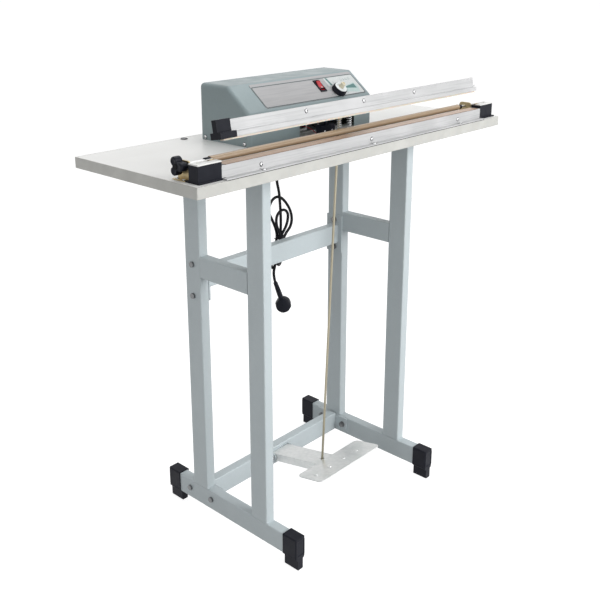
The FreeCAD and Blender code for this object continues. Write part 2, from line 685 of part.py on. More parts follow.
def build_panel_parts():
    """Rocker switch, timer knob and the parts behind the panel."""
    face = "panel_thick"
    left = "switch_x - switch_wide / 2"
    right = "switch_x + switch_wide / 2"
    low = "switch_up - switch_long / 2"
    high = "switch_up + switch_long / 2"
    rim = box("bezel_rim", (left, low, face), (right, high, face + " + bezel_thick"))
    neck = box("bezel_neck",
               (left + " + bezel_lip + 0.2", low + " + bezel_lip + 0.2", face + " - switch_deep"),
               (right + " - bezel_lip - 0.2", high + " - bezel_lip - 0.2", face))
    space = box("bezel_space",
                ("switch_x - rocker_wide / 2 - 0.4", "switch_up - rocker_long / 2 - 0.8",
                 face + " - switch_deep + 12"),
                ("switch_x + rocker_wide / 2 + 0.4", "switch_up + rocker_long / 2 + 0.8",
                 face + " + bezel_thick + 1"))
    frame = cut("bezel_cut", fuse("bezel_body", [rim, neck]), space)
    pivot_z = "(panel_thick - 3)"
    hinge_hole = cylinder("rocker_hinge_hole", "1.25",
                          ("switch_x - switch_wide / 2 + 1", "switch_up", pivot_z),
                          "switch_wide - 2", "X")
    node("switch_body", on_slope(cut("bezel_drilled", frame, hinge_hole)))

    rise = "(panel_thick + bezel_thick + rocker_rise)"
    rocker_outline = [
        ("switch_up - rocker_long / 2", pivot_z + " - 1"),
        ("switch_up", pivot_z + " - 4"),
        ("switch_up + rocker_long / 2", pivot_z + " - 1"),
        ("switch_up + rocker_long / 2 - 1.7", rise),
        ("switch_up", "panel_thick + bezel_thick + 0.5"),
        ("switch_up - rocker_long / 2 + 1.7", "panel_thick + bezel_thick + 0.3"),
    ]
    paddle = prism("rocker_paddle", "YZ_Plane", rocker_outline, "switch_x - rocker_wide / 2",
                   "rocker_wide")
    axle = cylinder("rocker_axle", "1.2",
                    ("switch_x - switch_wide / 2 + bezel_lip + 0.4", "switch_up", pivot_z),
                    "switch_wide - 2 * bezel_lip - 0.8", "X")
    node("switch_rocker", on_slope(fuse("rocker", [paddle, axle])))

    pot_top = "(-sheet_thick)"
    knob = doc.addObject("PartDesign::Body", "knob")
    skirt = new_sketch(knob, "knob_skirt", "XY_Plane", "panel_thick + knob_lift")
    draw_circle(skirt, ("knob_x", "knob_up"), "knob_radius")
    pad(knob, skirt, "knob_high")
    bore = new_sketch(knob, "knob_bore", "XY_Plane", "panel_thick + knob_lift")
    draw_circle(bore, ("knob_x", "knob_up"), "spindle_radius")
    pocket(knob, bore, "knob_high")
    node("timer_knob", on_slope(knob))
    hub = cylinder("hub", "hub_radius",
                   ("knob_x", "knob_up", "panel_thick + knob_lift + knob_high"), "hub_high")
    node("timer_knob_hub", on_slope(hub))
    spindle = cylinder("pot_spindle", "spindle_radius", ("knob_x", "knob_up", pot_top + " - 4"),
                       "4 + sheet_thick + panel_thick + knob_lift + knob_high")
    node("timer_spindle", on_slope(spindle))
    can = cylinder("pot_can", "pot_radius", ("knob_x", "knob_up", pot_top + " - pot_deep"),
                   "pot_deep")
    socket = cylinder("pot_socket", "spindle_radius + run_clear",
                      ("knob_x", "knob_up", pot_top + " - 4 - run_clear"), "5")
    node("timer_potentiometer", on_slope(cut("pot", can, socket)))
    board = box("timer_card",
                ("knob_x - board_wide / 2", "knob_up - board_high / 2",
                 pot_top + " - pot_deep - board_thick"),
                ("knob_x + board_wide / 2", "knob_up + board_high / 2", pot_top + " - pot_deep"))
    node("timer_board", on_slope(board))


def build_electrics():
    """Transformer and trigger switch on the tray."""
    base = over_table("sheet_thick")
    mid_y = from_front("(housing_back - 45)")
    core_low = ("core_x - core_wide / 2", mid_y + " - core_deep / 2", base)
    core_high = ("core_x + core_wide / 2", mid_y + " + core_deep / 2", base + " + core_high")
    stack = box("core_stack", core_low, core_high)
    windows = box("core_windows",
                  ("core_x - core_wide / 2 + 11", mid_y + " - core_deep", base + " + 11"),
                  ("core_x + core_wide / 2 - 11", mid_y + " + core_deep",
                   base + " + core_high - 11"))
    limb = box("core_limb", ("core_x - 11", mid_y + " - core_deep / 2", base + " + 10"),
               ("core_x + 11", mid_y + " + core_deep / 2", base + " + core_high - 10"))
    node("transformer_core", fuse("core", [cut("core_open", stack, windows), limb]))
    coil_low = ("core_x - 11 - 10.5", mid_y + " - core_deep / 2 - coil_out", base + " + 11.5")
    coil_high = ("core_x + 11 + 10.5", mid_y + " + core_deep / 2 + coil_out",
                 base + " + core_high - 11.5")
    coil_hole = box("coil_hole", ("core_x - 11.3", mid_y + " - core_deep / 2 - 0.3", base),
                    ("core_x + 11.3", mid_y + " + core_deep / 2 + 0.3", base + " + core_high"))
    node("transformer_coil", cut("coil", box("coil_block", coil_low, coil_high), coil_hole))


def build_trigger():
    """The small switch in front of the housing that the lever presses through a plunger."""
    front = from_front("trigger_front")
    back = "(%s + trigger_deep)" % front
    mid = "(%s + trigger_deep / 2)" % front
    body_low = over_table("trigger_foot")
    body_top = "(%s + trigger_high)" % body_low
    body = box("trigger_body", ("-trigger_half", front, body_low),
               ("trigger_half", back, body_top))
    foot = box("trigger_sole", ("-trigger_half - 6", front, TOP),
               ("trigger_half + 6", back, body_low))
    bore = cylinder("trigger_bore", "plunger_radius + run_clear",
                    ("0", mid, body_top + " - 14"), "15")
    node("trigger_switch", cut("trigger_drilled", fuse("trigger_case", [body, foot]), bore))
    stem_top = over_table("(lever_under - plunger_gap + plunger_travel)")
    stem_low = "(%s - 9 + plunger_travel)" % body_top
    stem = cylinder("plunger_stem", "plunger_radius", ("0", mid, stem_low),
                    "%s - %s" % (stem_top, stem_low))
    node("trigger_plunger", stem)


def build_lower_jaw():
    """The sealing bar on the table's front edge, with its wire, film and end blocks."""
    foot = over_table("bar_foot_thick")
    top = over_table("bar_high")
    web_front = from_front("bar_web_set")
    web_back = from_front("(bar_web_set + bar_web_wide)")
    mid = from_front("(bar_web_set + bar_web_wide / 2)")
    outline = [
        (FRONT, TOP), (from_front("bar_foot_deep"), TOP), (from_front("bar_foot_deep"), foot),
        (web_back, foot), (web_back, top), (web_front, top), (web_front, foot), (FRONT, foot),
    ]
    hole = rectangle((web_front + " + 3", foot + " + 3"), (web_back + " - 3", top + " - 6"))
    bar = prism("lower_bar", "YZ_Plane", outline, "-" + BAR_END, "2 * " + BAR_END, [hole])
    wire = box("wire", ("-" + BAR_END, mid + " - wire_wide / 2", top),
               (BAR_END, mid + " + wire_wide / 2", top + " + wire_thick"))
    node("heating_wire", wire)
    notch = box("bar_notch",
                ("-%s - 1" % BAR_END, from_front("block_foot_front") + " - hole_play",
                 TOP + " - 1"),
                ("-%s + block_flap + hole_play" % BAR_END,
                 from_front("block_foot_back") + " + hole_play",
                 over_table("block_foot_thick")))

    screws = []
    holes = []
    for step in (-1, 0, 1):
        x = "%d * jaw_screw_pitch" % step
        holes.append(cylinder("bar_foot_hole", "screw_radius + hole_play",
                              (x, from_front("6"), TOP + " - 1"), "bar_foot_thick + 2"))
        holes.append(cylinder("bar_web_hole", "screw_radius",
                              (x, web_front + " - 1", over_table("12")), "4", "Y"))
        down = cylinder("foot_screw_shank", "screw_radius",
                        (x, from_front("6"), TOP + " - screw_bite"),
                        "screw_bite + bar_foot_thick")
        cap = cylinder("foot_screw_head", "screw_head", (x, from_front("6"), foot),
                       "screw_head_high")
        screws.append(fuse("foot_screw", [down, cap]))
        web = cylinder("web_screw_shank", "screw_radius",
                       (x, web_front, over_table("12")), "3", "Y")
        web_cap = cylinder("web_screw_head", "screw_head",
                           (x, web_front + " - screw_head_high", over_table("12")),
                           "screw_head_high", "Y")
        screws.append(fuse("web_screw", [web, web_cap]))
    node("lower_jaw_bar", cut("bar_drilled", bar, group("bar_holes", holes + [notch])))
    node("lower_jaw_screws", group("all_jaw_screws", screws))


def build_end_blocks():
    """The black blocks that hold the wire's ends, each with a lid and a brass clamp."""
    blocks = []
    lids = []
    clamps = []
    floor_z = over_table("block_foot_thick")
    top = over_table("block_high")
    front = from_front("bar_web_set")
    back = from_front("(bar_web_set + bar_web_wide)")
    slot_front = from_front("block_slot_front")
    slot_back = from_front("(block_slot_front + block_slot_wide)")
    for low, high in (("-" + BLOCK_END, "-" + BAR_END), (BAR_END, BLOCK_END)):
        middle = "(%s) / 2 + (%s) / 2" % (low, high)
        body = box("block_body", (low, front, floor_z), (high, back, top))
        flange = box("block_flange", (low, from_front("block_foot_front"), TOP),
                     (high + " + block_flap", from_front("block_foot_back"), floor_z))
        slot = box("block_slot",
                   (middle + " - block_slot_long / 2", slot_front, top + " - block_slot_deep"),
                   (middle + " + block_slot_long / 2", slot_back, top + " + 1"))
        blocks.append(cut("block_cut", fuse("block", [body, flange]), slot))
        lid = box("lid", (low, front, top), (high, back, top + " + lid_thick"))
        window = box("lid_window", (middle + " - block_slot_long / 2", slot_front, top + " - 1"),
                     (middle + " + block_slot_long / 2", slot_back, top + " + lid_thick + 1"))
        lids.append(cut("lid_cut", lid, window))
        clamp = box("clamp",
                    (middle + " - clamp_long / 2", slot_front + " + hole_play",
                     top + " - block_slot_deep"),
                    (middle + " + clamp_long / 2", slot_back + " - hole_play",
                     top + " - block_slot_deep + clamp_high"))
        clamps.append(clamp)
    node("end_blocks", group("both_blocks", blocks))
    node("end_block_lids", group("both_lids", lids))
    node("wire_clamps", group("both_clamps", clamps))


def build_film():
    """The film over the bar's top, which runs down behind it to the underside of its roll."""
    thick = value("ptfe_thick")
    front = value(from_front("bar_web_set"))
    edge = Vector(0, value(from_front("(bar_web_set + bar_web_wide)")),
                  value(over_table("(bar_high + wire_thick)")))
    roll = Vector(0, value(from_front("roll_back")), value(over_table("roll_rise")))
    to_roll = roll - edge
    dip = math.asin(value("roll_radius + film_clear + ptfe_thick") / to_roll.Length)
    heading = math.atan2(to_roll.z, to_roll.y) - dip
    run = Vector(0, math.cos(heading), math.sin(heading))
    reach = to_roll.Length * math.cos(dip)
    across = Vector(0, -run.z, run.y) * thick
    end = edge + run * reach
    half = value("table_length / 2 - film_inset")
    corners = [Vector(0, front, edge.z), edge, end, end + across,
               edge + Vector(0, thick * math.tan(-heading / 2), thick),
               Vector(0, front, edge.z + thick)]
    face = Part.Face(Part.makePolygon(corners + corners[:1]))
    face.translate(Vector(-half, 0, 0))
    film = doc.addObject("Part::Feature", "film")
    film.Shape = face.extrude(Vector(2 * half, 0, 0))
    node("ptfe_film", film)


def build_film_roll():
    """The roll of film behind the lower jaw, its stops, rod, brackets and star knob."""
    back = from_front("roll_back")
    high = over_table("roll_rise")
    roll = cylinder("roll_out", "roll_radius", ("-" + ROLL_END, back, high), "2 * " + ROLL_END,
                    "X")
    core = cylinder("roll_core", "rod_radius", ("-%s - 1" % ROLL_END, back, high),
                    "2 * %s + 2" % ROLL_END, "X")
    node("film_roll", cut("roll", roll, core))
    stops = []
    for start in ("-%s - stop_long" % ROLL_END, ROLL_END):
        collar = cylinder("roll_stop", "stop_radius", (start, back, high), "stop_long", "X")
        bore = cylinder("roll_stop_bore", "rod_radius", (start + " - 1", back, high),
                        "stop_long + 2", "X")
        stops.append(cut("roll_stop_cut", collar, bore))
    node("roll_stops", group("both_stops", stops))

    left_face = "(-table_length / 2 + left_bracket_in)"
    right_face = "(table_length / 2 - right_bracket_in)"
    rod_start = "(%s - rod_out)" % left_face
    rod = cylinder("roll_shaft", "rod_radius", (rod_start, back, high),
                   "%s + rod_past - %s" % (right_face, rod_start), "X")
    node("roll_rod", rod)
    places = (
        (left_face, left_face + " - bracket_foot"),
        (right_face + " - bracket_thick", right_face),
    )
    brackets = []
    half_wide = "bracket_wide / 2"
    for near, foot_low in places:
        post = box("bracket_post", (near, back + " - " + half_wide, TOP),
                   (near + " + bracket_thick", back + " + " + half_wide,
                    over_table("bracket_high")))
        bore = cylinder("bracket_bore", "rod_radius + run_clear", (near + " - 1", back, high),
                        "bracket_thick + 2", "X")
        foot = box("bracket_sole", (foot_low, back + " - " + half_wide, TOP),
                   (foot_low + " + bracket_foot", back + " + " + half_wide,
                    over_table("bracket_thick / 2")))
        brackets.append(cut("bracket_cut", fuse("bracket", [post, foot]), bore))
    node("roll_brackets", group("both_brackets", brackets))

    start = rod_start + " - star_long + star_grip"
    hub = cylinder("star_middle", "star_hub", (start, back, high), "star_long", "X")
    lobes = []
    for number in range(3):
        angle = math.radians(120 * number + 60)
        lobes.append(cylinder("star_arm", "star_lobe",
                              (start, "%s + star_reach * %.4f" % (back, math.cos(angle)),
                               "%s + star_reach * %.4f" % (high, math.sin(angle))),
                              "star_long - star_step", "X"))
    star = fuse("star", [hub] + lobes)
    bore = cylinder("star_bore", "rod_radius", (start + " + star_long - star_grip", back, high),
                    "star_grip + 1", "X")
    node("star_knob", cut("star_cut", star, bore))


def shut_height():
    """The Z place of the silicone's face when the jaw is shut."""
    return over_table("(bar_high + wire_thick + ptfe_thick + jaw_gap)")


def swing_jaw(piece):
    """Opens a piece of the upper jaw, drawn shut, to its rest place."""
    return turned(piece, value("open_angle"), value(over_table("pivot_rise")),
                  value(from_front("pivot_back")))


def build_upper_jaw():
    """The pressing bar with its silicone, screws, end cap and carrier."""
    mid = from_front("(bar_web_set + bar_web_wide / 2)")
    low = shut_height()
    base = "(%s + silicone_high - silicone_in)" % low
    web = "(%s + upper_base_high)" % base
    top = "(%s + upper_web_high)" % web
    groove = "(silicone_wide / 2)"
    outline = [
        (mid + " - upper_base_wide / 2", base), (mid + " - " + groove, base),
        (mid + " - " + groove, base + " + silicone_in"),
        (mid + " + " + groove, base + " + silicone_in"), (mid + " + " + groove, base),
        (mid + " + upper_base_wide / 2", base), (mid + " + upper_base_wide / 2", web),
        (mid + " + upper_web_thick / 2", web), (mid + " + upper_web_thick / 2", top),
        (mid + " - upper_web_thick / 2", top), (mid + " - upper_web_thick / 2", web),
        (mid + " - upper_base_wide / 2", web),
    ]
    bar = prism("upper_bar", "YZ_Plane", outline, "-" + UPPER_END, "2 * " + UPPER_END)
    round_edges(bar, lambda first, second: along((1, 0, 0))(first, second)
                and abs(first.z - value(top)) < 1e-6, "1")
    bar_holes = [
        cylinder("upper_bar_hole", "screw_radius + hole_play",
                 ("%d * upper_screw_pitch - upper_screw_shift" % step,
                  mid + " - upper_web_thick", web + " + upper_screw_rise"),
                 "2 * upper_web_thick", "Y")
        for step in (-1, 0, 1)
    ]
    node("upper_jaw_bar", swing_jaw(cut("upper_bar_drilled", bar, group("upper_bar_holes",
                                                                        bar_holes))))
    strip = box("silicone", ("-" + UPPER_END, mid + " - " + groove, low),
                (UPPER_END, mid + " + " + groove, base + " + silicone_in"))
    node("silicone_strip", swing_jaw(strip))

    out = "(-%s - end_cap_out)" % UPPER_END
    inn = "(-%s + end_cap_in)" % UPPER_END
    cap_wall = "end_cap_wall"
    web_cap = box("cap_web",
                  (out, mid + " - upper_web_thick / 2 - " + cap_wall, web),
                  (inn + " - 5", mid + " + upper_web_thick / 2 + " + cap_wall,
                   top + " + " + cap_wall))
    base_cap = box("cap_base",
                   (out, mid + " - upper_base_wide / 2 - " + cap_wall, base + " - 0.6"),
                   (inn, mid + " + upper_base_wide / 2 + " + cap_wall, web + " + " + cap_wall))
    hollow = [
        box("cap_web_space", ("-" + UPPER_END, mid + " - upper_web_thick / 2", web + " - 1"),
            (inn + " + 5", mid + " + upper_web_thick / 2", top)),
        box("cap_base_space", ("-" + UPPER_END, mid + " - upper_base_wide / 2", base + " - 1"),
            (inn + " + 5", mid + " + upper_base_wide / 2", web)),
    ]
    cap = cut("cap_cut", fuse("cap", [web_cap, base_cap]), group("cap_spaces", hollow))
    node("upper_end_cap", swing_jaw(cap))

    screws = []
    for step in (-1, 0, 1):
        x = "%d * upper_screw_pitch - upper_screw_shift" % step
        front = mid + " - upper_web_thick / 2"
        mid_z = web + " + upper_screw_rise"
        head = cylinder("press_screw_head", "screw_head",
                        (x, front + " - screw_head_high", mid_z), "screw_head_high", "Y")
        shank = cylinder("press_screw_shank", "screw_radius", (x, front, mid_z),
                         "upper_web_thick + carrier_thick", "Y")
        screws.append(fuse("press_screw", [head, shank]))
    pin = cylinder("end_pin", "screw_radius", (UPPER_END, mid, web + " + 3"), "9", "X")
    node("upper_jaw_screws", swing_jaw(group("press_screws", screws + [pin])))
    return mid, web


def build_lever(mid, web):
    """The steel lever from the jaw to its pivot, welded to a cross plate and a pivot tube."""
    plate_front = mid + " + upper_web_thick / 2"
    start = plate_front + " + carrier_thick"
    plate_low = web + " + 1"
    plate_high = plate_low + " + carrier_high"
    tail = from_front("(pivot_back + cheek_half)")
    pivot = over_table("pivot_rise")
    pivot_y = from_front("pivot_back")
    pin_y = from_front("rod_pin_back")
    pin_z = over_table("rod_pin_rise")
    under = over_table("lever_under")
    slim = from_front("lever_slim")
    outline = [
        (start, plate_low), (from_front("lever_bend"), under), (pin_y + " - lug_half", under),
        (pin_y + " - lug_half", pin_z + " - lug_half"),
        (pin_y + " + lug_half", pin_z + " - lug_half"), (pin_y + " + lug_half", under),
        (slim, under), (pivot_y + " - cheek_half", pivot + " - 10"), (tail, pivot + " - 10"),
        (tail, pivot + " + 10"), (slim, pivot + " + 10"), (from_front("lever_bend"), plate_high),
        (start, plate_high),
    ]
    solid = prism("lever_solid", "YZ_Plane", outline, "-lever_wide / 2", "lever_wide")
    inner = [
        (start, over_table("0")), (tail + " + 5", over_table("0")),
        (tail + " + 5", pivot + " + 10 - lever_wall"), (slim, pivot + " + 10 - lever_wall"),
        (from_front("lever_bend"), plate_high + " - lever_wall"),
        (start, plate_high + " - lever_wall"),
    ]
    space = prism("lever_space", "YZ_Plane", inner, "-lever_wide / 2 + lever_wall",
                  "lever_wide - 2 * lever_wall")
    channel = cut("lever_channel", solid, space)
    plate = box("cross_plate", ("-carrier_half", plate_front, plate_low),
                ("carrier_half", start, plate_high))
    sleeve = cylinder("pivot_tube", "sleeve_radius", ("-lever_wide / 2 - 2", pivot_y, pivot),
                      "lever_wide + 4", "X")
    striker = box("striker", ("-lever_wide / 2", from_front("trigger_front"), under),
                  ("lever_wide / 2", from_front("(trigger_front + trigger_deep)"),
                   under + " + lever_wall"))
    welded = fuse("lever_welded", [channel, plate, sleeve, striker])
    pin_hole = cylinder("lever_pin_hole", "rod_pin_radius", ("-lever_wide", pin_y, pin_z),
                        "2 * lever_wide", "X")
    pivot_bore = cylinder("lever_pivot_bore", "pivot_radius + run_clear",
                          ("-lever_wide", pivot_y, pivot), "2 * lever_wide", "X")
    screw_holes = [
        cylinder("cross_plate_hole", "screw_radius",
                 ("%d * upper_screw_pitch - upper_screw_shift" % step, plate_front + " - 1",
                  web + " + upper_screw_rise"), "carrier_thick + lever_wall + 2", "Y")
        for step in (-1, 0, 1)
    ]
    bores = group("lever_bores", [pin_hole, pivot_bore] + screw_holes)
    node("lever", swing_jaw(cut("lever_drilled", welded, bores)))

    pin = cylinder("rod_bolt_shank", "rod_pin_radius",
                   ("-lever_wide / 2", pin_y, over_table("rod_pin_rise")),
                   "lever_wide / 2 + rod_pin_reach", "X")
    head = hexagon("rod_bolt_head", "11",
                   ("-lever_wide / 2 - 4", pin_y, over_table("rod_pin_rise")), "4", "X")
    node("rod_bolt", swing_jaw(fuse("rod_bolt_whole", [pin, head])))


def build_pivot(base_top):
    """The bracket on the tray and the pin that the lever swings on."""
    pivot_y = from_front("pivot_back")
    pivot = over_table("pivot_rise")
    near = "(lever_wide / 2 + 2 + side_clear)"
    far = "(%s + cheek_thick)" % near
    base = box("bracket_base", ("-" + far, pivot_y + " - cheek_half", base_top),
               (far, pivot_y + " + cheek_half", base_top + " + cheek_thick"))
    outline = [
        (pivot_y + " - cheek_half", base_top), (pivot_y + " + cheek_half", base_top),
        (pivot_y + " + cheek_half", pivot), (pivot_y + " + cheek_half / 2", pivot + " + cheek_half"),
        (pivot_y + " - cheek_half / 2", pivot + " + cheek_half"),
        (pivot_y + " - cheek_half", pivot),
    ]
    cheek = prism("cheek", "YZ_Plane", outline, near, "cheek_thick")
    holes = cylinder("cheek_bore", "pivot_radius", ("-" + far + " - 1", pivot_y, pivot),
                     "2 * %s + 2" % far, "X")
    bracket = fuse("bracket_body", [base, cheek, mirrored("left_cheek", cheek, (1, 0, 0))])
    node("pivot_bracket", cut("pivot_bracket_cut", bracket, holes))
    shaft = cylinder("pivot_shaft", "pivot_radius", ("-" + far, pivot_y, pivot),
                     "2 * %s + 3" % far, "X")
    head = cylinder("pivot_head", "pivot_radius + 2.5", ("-" + far + " - 3", pivot_y, pivot), "3",
                    "X")
    node("pivot_pin", fuse("pivot_pin_whole", [shaft, head]))


def rest_point(back, rise):
    """Where a point of the shut jaw lies when it is open: its Y and Z."""
    angle = math.radians(value("open_angle"))
    pivot_y = value(from_front("pivot_back"))
    pivot_z = value(over_table("pivot_rise"))
    out = value(from_front(back)) - pivot_y
    up = value(over_table(rise)) - pivot_z
    return (pivot_y + out * math.cos(angle) + up * math.sin(angle),
            pivot_z - out * math.sin(angle) + up * math.cos(angle))


def spring(x, y, low, high):
    """A compression spring between two heights, its coil and its wire in flat facets."""
    wire = value("spring_wire") / 2
    radius = value("spring_radius")
    steps = int(value("spring_turns")) * SPRING_STEPS
    start = Vector(x, y, low + wire)
    points = []
    for number in range(steps + 1):
        angle = 2 * math.pi * number / SPRING_STEPS
        rise = (high - low - 2 * wire) * number / steps
        points.append(start + Vector(radius * math.cos(angle), radius * math.sin(angle), rise))
    run = points[1] - points[0]
    run.normalize()
    out = Vector(1, 0, 0)
    up = run.cross(out)
    ring = []
    for number in range(WIRE_SIDES + 1):
        angle = 2 * math.pi * number / WIRE_SIDES
        ring.append(points[0] + (out * math.cos(angle) + up * math.sin(angle)) * wire)
    section = Part.makePolygon(ring)
    return Part.makePolygon(points).makePipeShell([section], True, True, 1)


def build_springs():
    """The two return springs, one round the pull rod and one beside the lever."""
    pin_y, pin_z = rest_point("rod_pin_back", "rod_pin_rise")
    seat = value(over_table("guide_thick"))
    round_rod = spring(0, pin_y + value("guide_shift") / 2, seat,
                       pin_z - value("eye_radius + collar_thick"))
    beside = spring(value("side_spring_x"), pin_y, seat, pin_z - value("rod_pin_radius"))
    pair = doc.addObject("Part::Feature", "spring_pair")
    pair.Shape = Part.makeCompound([round_rod, beside])
    node("return_springs", pair)


def rod_ends():
    """The pull rod's upper and lower ends at rest: two points."""
    top_y, top_z = rest_point("rod_pin_back", "rod_pin_rise")
    angle = math.radians(value("pedal_angle"))
    reach = value("rod_meets")
    lift = value("pedal_side / 2")
    low_y = value(from_front("pedal_pivot_back")) - reach * math.cos(angle) + lift * math.sin(angle)
    low_z = value("pedal_pivot_high") + reach * math.sin(angle) + lift * math.cos(angle)
    return Vector(0, top_y, top_z), Vector(0, low_y, low_z)


def build_pull_rod():
    """The rod from the lever to the pedal, its nut and its guide under the table."""
    top, low = rod_ends()
    run = low - top
    run.normalize()
    eye_radius = value("eye_radius")
    below = 16
    rod = Part.makeCylinder(value("pull_rod_radius"), (low - top).Length + below - eye_radius + 1,
                            top + run * (eye_radius - 1), run)
    eye_half = value("eye_wide") / 2
    eye = Part.makeCylinder(eye_radius, 2 * eye_half, top - Vector(eye_half, 0, 0), Vector(1, 0, 0))
    collar = Part.makeCylinder(value("collar_radius"), value("collar_thick") + 1,
                               top + run * (eye_radius - 1), run)
    bore = Part.makeCylinder(value("rod_pin_radius + run_clear"), 4 * eye_half,
                             top - Vector(2 * eye_half, 0, 0), Vector(1, 0, 0))
    piece = doc.addObject("Part::Feature", "rod_with_eye")
    piece.Shape = eye.fuse([rod, collar]).cut(bore).removeSplitter()
    node("pull_rod", piece)

    gap = value("pedal_wall") + 2.4
    washer = Part.makeCylinder(7, 1.6, low + run * gap, run)
    nut = Part.makeCylinder(5.4, 5, low + run * (gap + 1.6), run)
    hole = Part.makeCylinder(value("pull_rod_radius"), 30, low - run * 5, run)
    nuts = doc.addObject("Part::Feature", "rod_nut_pair")
    nuts.Shape = washer.fuse(nut).cut(hole).removeSplitter()
    node("rod_nut", nuts)

    guide = box("guide", ("-guide_left", from_front("rod_pin_back") + " - guide_long / 2", TOP),
                ("guide_right", from_front("rod_pin_back") + " + guide_long / 2",
                 over_table("guide_thick")))
    hole = cylinder("guide_opening", "guide_hole",
                    ("0", from_front("(rod_pin_back + guide_shift)"), TOP + " - 1"),
                    "guide_thick + 2")
    node("rod_guide", cut("guide_cut", guide, hole))


def lift_pedal(piece):
    """Raises a piece of the pedal, drawn level, to its rest place."""
    return turned(piece, value("pedal_angle"), value("pedal_pivot_high"),
                  value(from_front("pedal_pivot_back")))


def build_pedal():
    """The channel arm, the tread, the bracket on the lower tube and the pivot bolt."""
    pivot_y = from_front("pedal_pivot_back")
    pivot = "pedal_pivot_high"
    top = "(pedal_pivot_high + pedal_side / 2)"
    low = "(pedal_pivot_high - pedal_side / 2)"
    half = "(pedal_wide / 2)"
    outline = [
        (pivot_y + " + pedal_tail", low), (pivot_y + " + pedal_tail", top),
        (pivot_y + " - pedal_reach", top), (pivot_y + " - pedal_reach", top + " - pedal_wall"),
        (pivot_y + " - pedal_reach - pedal_under", top + " - pedal_wall"),
        (pivot_y + " - pedal_reach - pedal_under", top + " - pedal_wall - 4"),
        (pivot_y + " - pedal_reach", low),
    ]
    solid = prism("arm_solid", "YZ_Plane", outline, "-" + half, "pedal_wide")
    space = box("arm_space",
                ("-%s + pedal_wall" % half, pivot_y + " - pedal_reach - pedal_under - 5",
                 low + " - 5"),
                (half + " - pedal_wall", pivot_y + " + pedal_tail + 5", top + " - pedal_wall"))
    bore = cylinder("arm_bore", "pedal_bolt_radius + run_clear", ("-pedal_wide", pivot_y, pivot),
                    "2 * pedal_wide", "X")
    hole = cylinder("arm_rod_hole", "pedal_hole",
                    ("0", pivot_y + " - rod_meets", top + " - pedal_wall - 1"), "pedal_wall + 2")
    spaces = group("arm_spaces", [space, bore, hole])
    node("pedal_arm", lift_pedal(cut("arm", solid, spaces)))

    tread = doc.addObject("PartDesign::Body", "tread")
    plate = new_sketch(tread, "tread_plate", "XY_Plane", top + " - pedal_wall")
    back = pivot_y + " - pedal_reach"
    draw_outline(plate, rectangle(("-tread_left", back + " - tread_long"),
                                  ("tread_right", back)))
    pad(tread, plate, "pedal_wall")
    round_edges(tread, outer_along((0, 0, 1), tread.Shape), "tread_round")
    dimples = new_sketch(tread, "tread_dimples", "XY_Plane", top)
    for step in (-3, -1, 1, 3):
        draw_circle(dimples, ("%d * tread_left / 4" % step, back + " - tread_long / 2"),
                    "dimple_radius")
    pad(tread, dimples, "dimple_high")
    node("pedal_tread", lift_pedal(tread))

    tube_face = "(%s - tube_thin / 2)" % REAR_LEG_MID
    near = "(pedal_wide / 2 + side_clear)"
    far = "(%s + ear_thick)" % near
    back_plate = box("ear_plate", ("-" + far, tube_face + " - 2", pivot + " - ear_half"),
                     (far, tube_face, pivot + " + ear_half"))
    ear_outline = rectangle((pivot_y + " - ear_half", pivot + " - ear_half"),
                            (tube_face + " - 2", pivot + " + ear_half"))
    ear = prism("ear", "YZ_Plane", ear_outline, near, "ear_thick")
    round_edges(ear, lambda first, second: along((1, 0, 0))(first, second)
                and first.y < value(pivot_y), "ear_half - 1")
    ear_bore = cylinder("ear_bore", "pedal_bolt_radius", ("-" + far + " - 1", pivot_y, pivot),
                        "2 * %s + 2" % far, "X")
    ears = fuse("ears", [back_plate, ear, mirrored("left_ear", ear, (1, 0, 0))])
    node("pedal_bracket", cut("pedal_bracket_cut", ears, ear_bore))
    bolt = cylinder("pedal_bolt_shank", "pedal_bolt_radius", ("-" + far + " - 9", pivot_y, pivot),
                    "2 * %s + 9" % far, "X")
    head = hexagon("pedal_bolt_head", "13", (far, pivot_y, pivot), "5", "X")
    nut = hexagon("pedal_bolt_nut", "13", ("-" + far + " - 6.5", pivot_y, pivot), "6.5", "X")
    node("pedal_bolt", fuse("pedal_bolt_whole", [bolt, head, nut]))


def rounded_path(points):
    """Straight runs joined by tangent arcs, each as large as its two runs allow."""
    edges = []
    radii = []
    here = points[0]
    for before, corner, after in zip(points, points[1:], points[2:]):
        back_run = before - corner
        next_run = after - corner
        turn = math.pi - back_run.getAngle(next_run)
        reach = 0.45 * min(back_run.Length, next_run.Length)
        radii.append(reach / math.tan(turn / 2))
        back_run.normalize()
        next_run.normalize()
        start = corner + back_run * reach
        end = corner + next_run * reach
        bisector = back_run + next_run
        bisector.normalize()
        centre = corner + bisector * math.hypot(reach, radii[-1])
        middle = centre - bisector * radii[-1]
        edges.append(Part.LineSegment(here, start).toShape())
        edges.append(Part.Arc(start, middle, end).toShape())
        here = end
    edges.append(Part.LineSegment(here, points[-1]).toShape())
    return Part.Wire(edges), radii


def cord_tube(label, points):
    """A round cord along a route."""
    path, radii = rounded_path(points)
    radius = value("cable_radius")
    direction = points[1] - points[0]
    section = Part.Wire([Part.makeCircle(radius, points[0], direction)])
    shape = path.makePipeShell([section], True, False)
    section_area = math.pi * radius ** 2
    share = shape.Volume / (section_area * path.Length)
    print("%s: length %.1f, volume share %.4f, radii %s"
          % (label, path.Length, share, " ".join("%.0f" % each for each in radii)))
    piece = doc.addObject("Part::Feature", label + "_tube")
    piece.Shape = shape
    return node(label, piece)


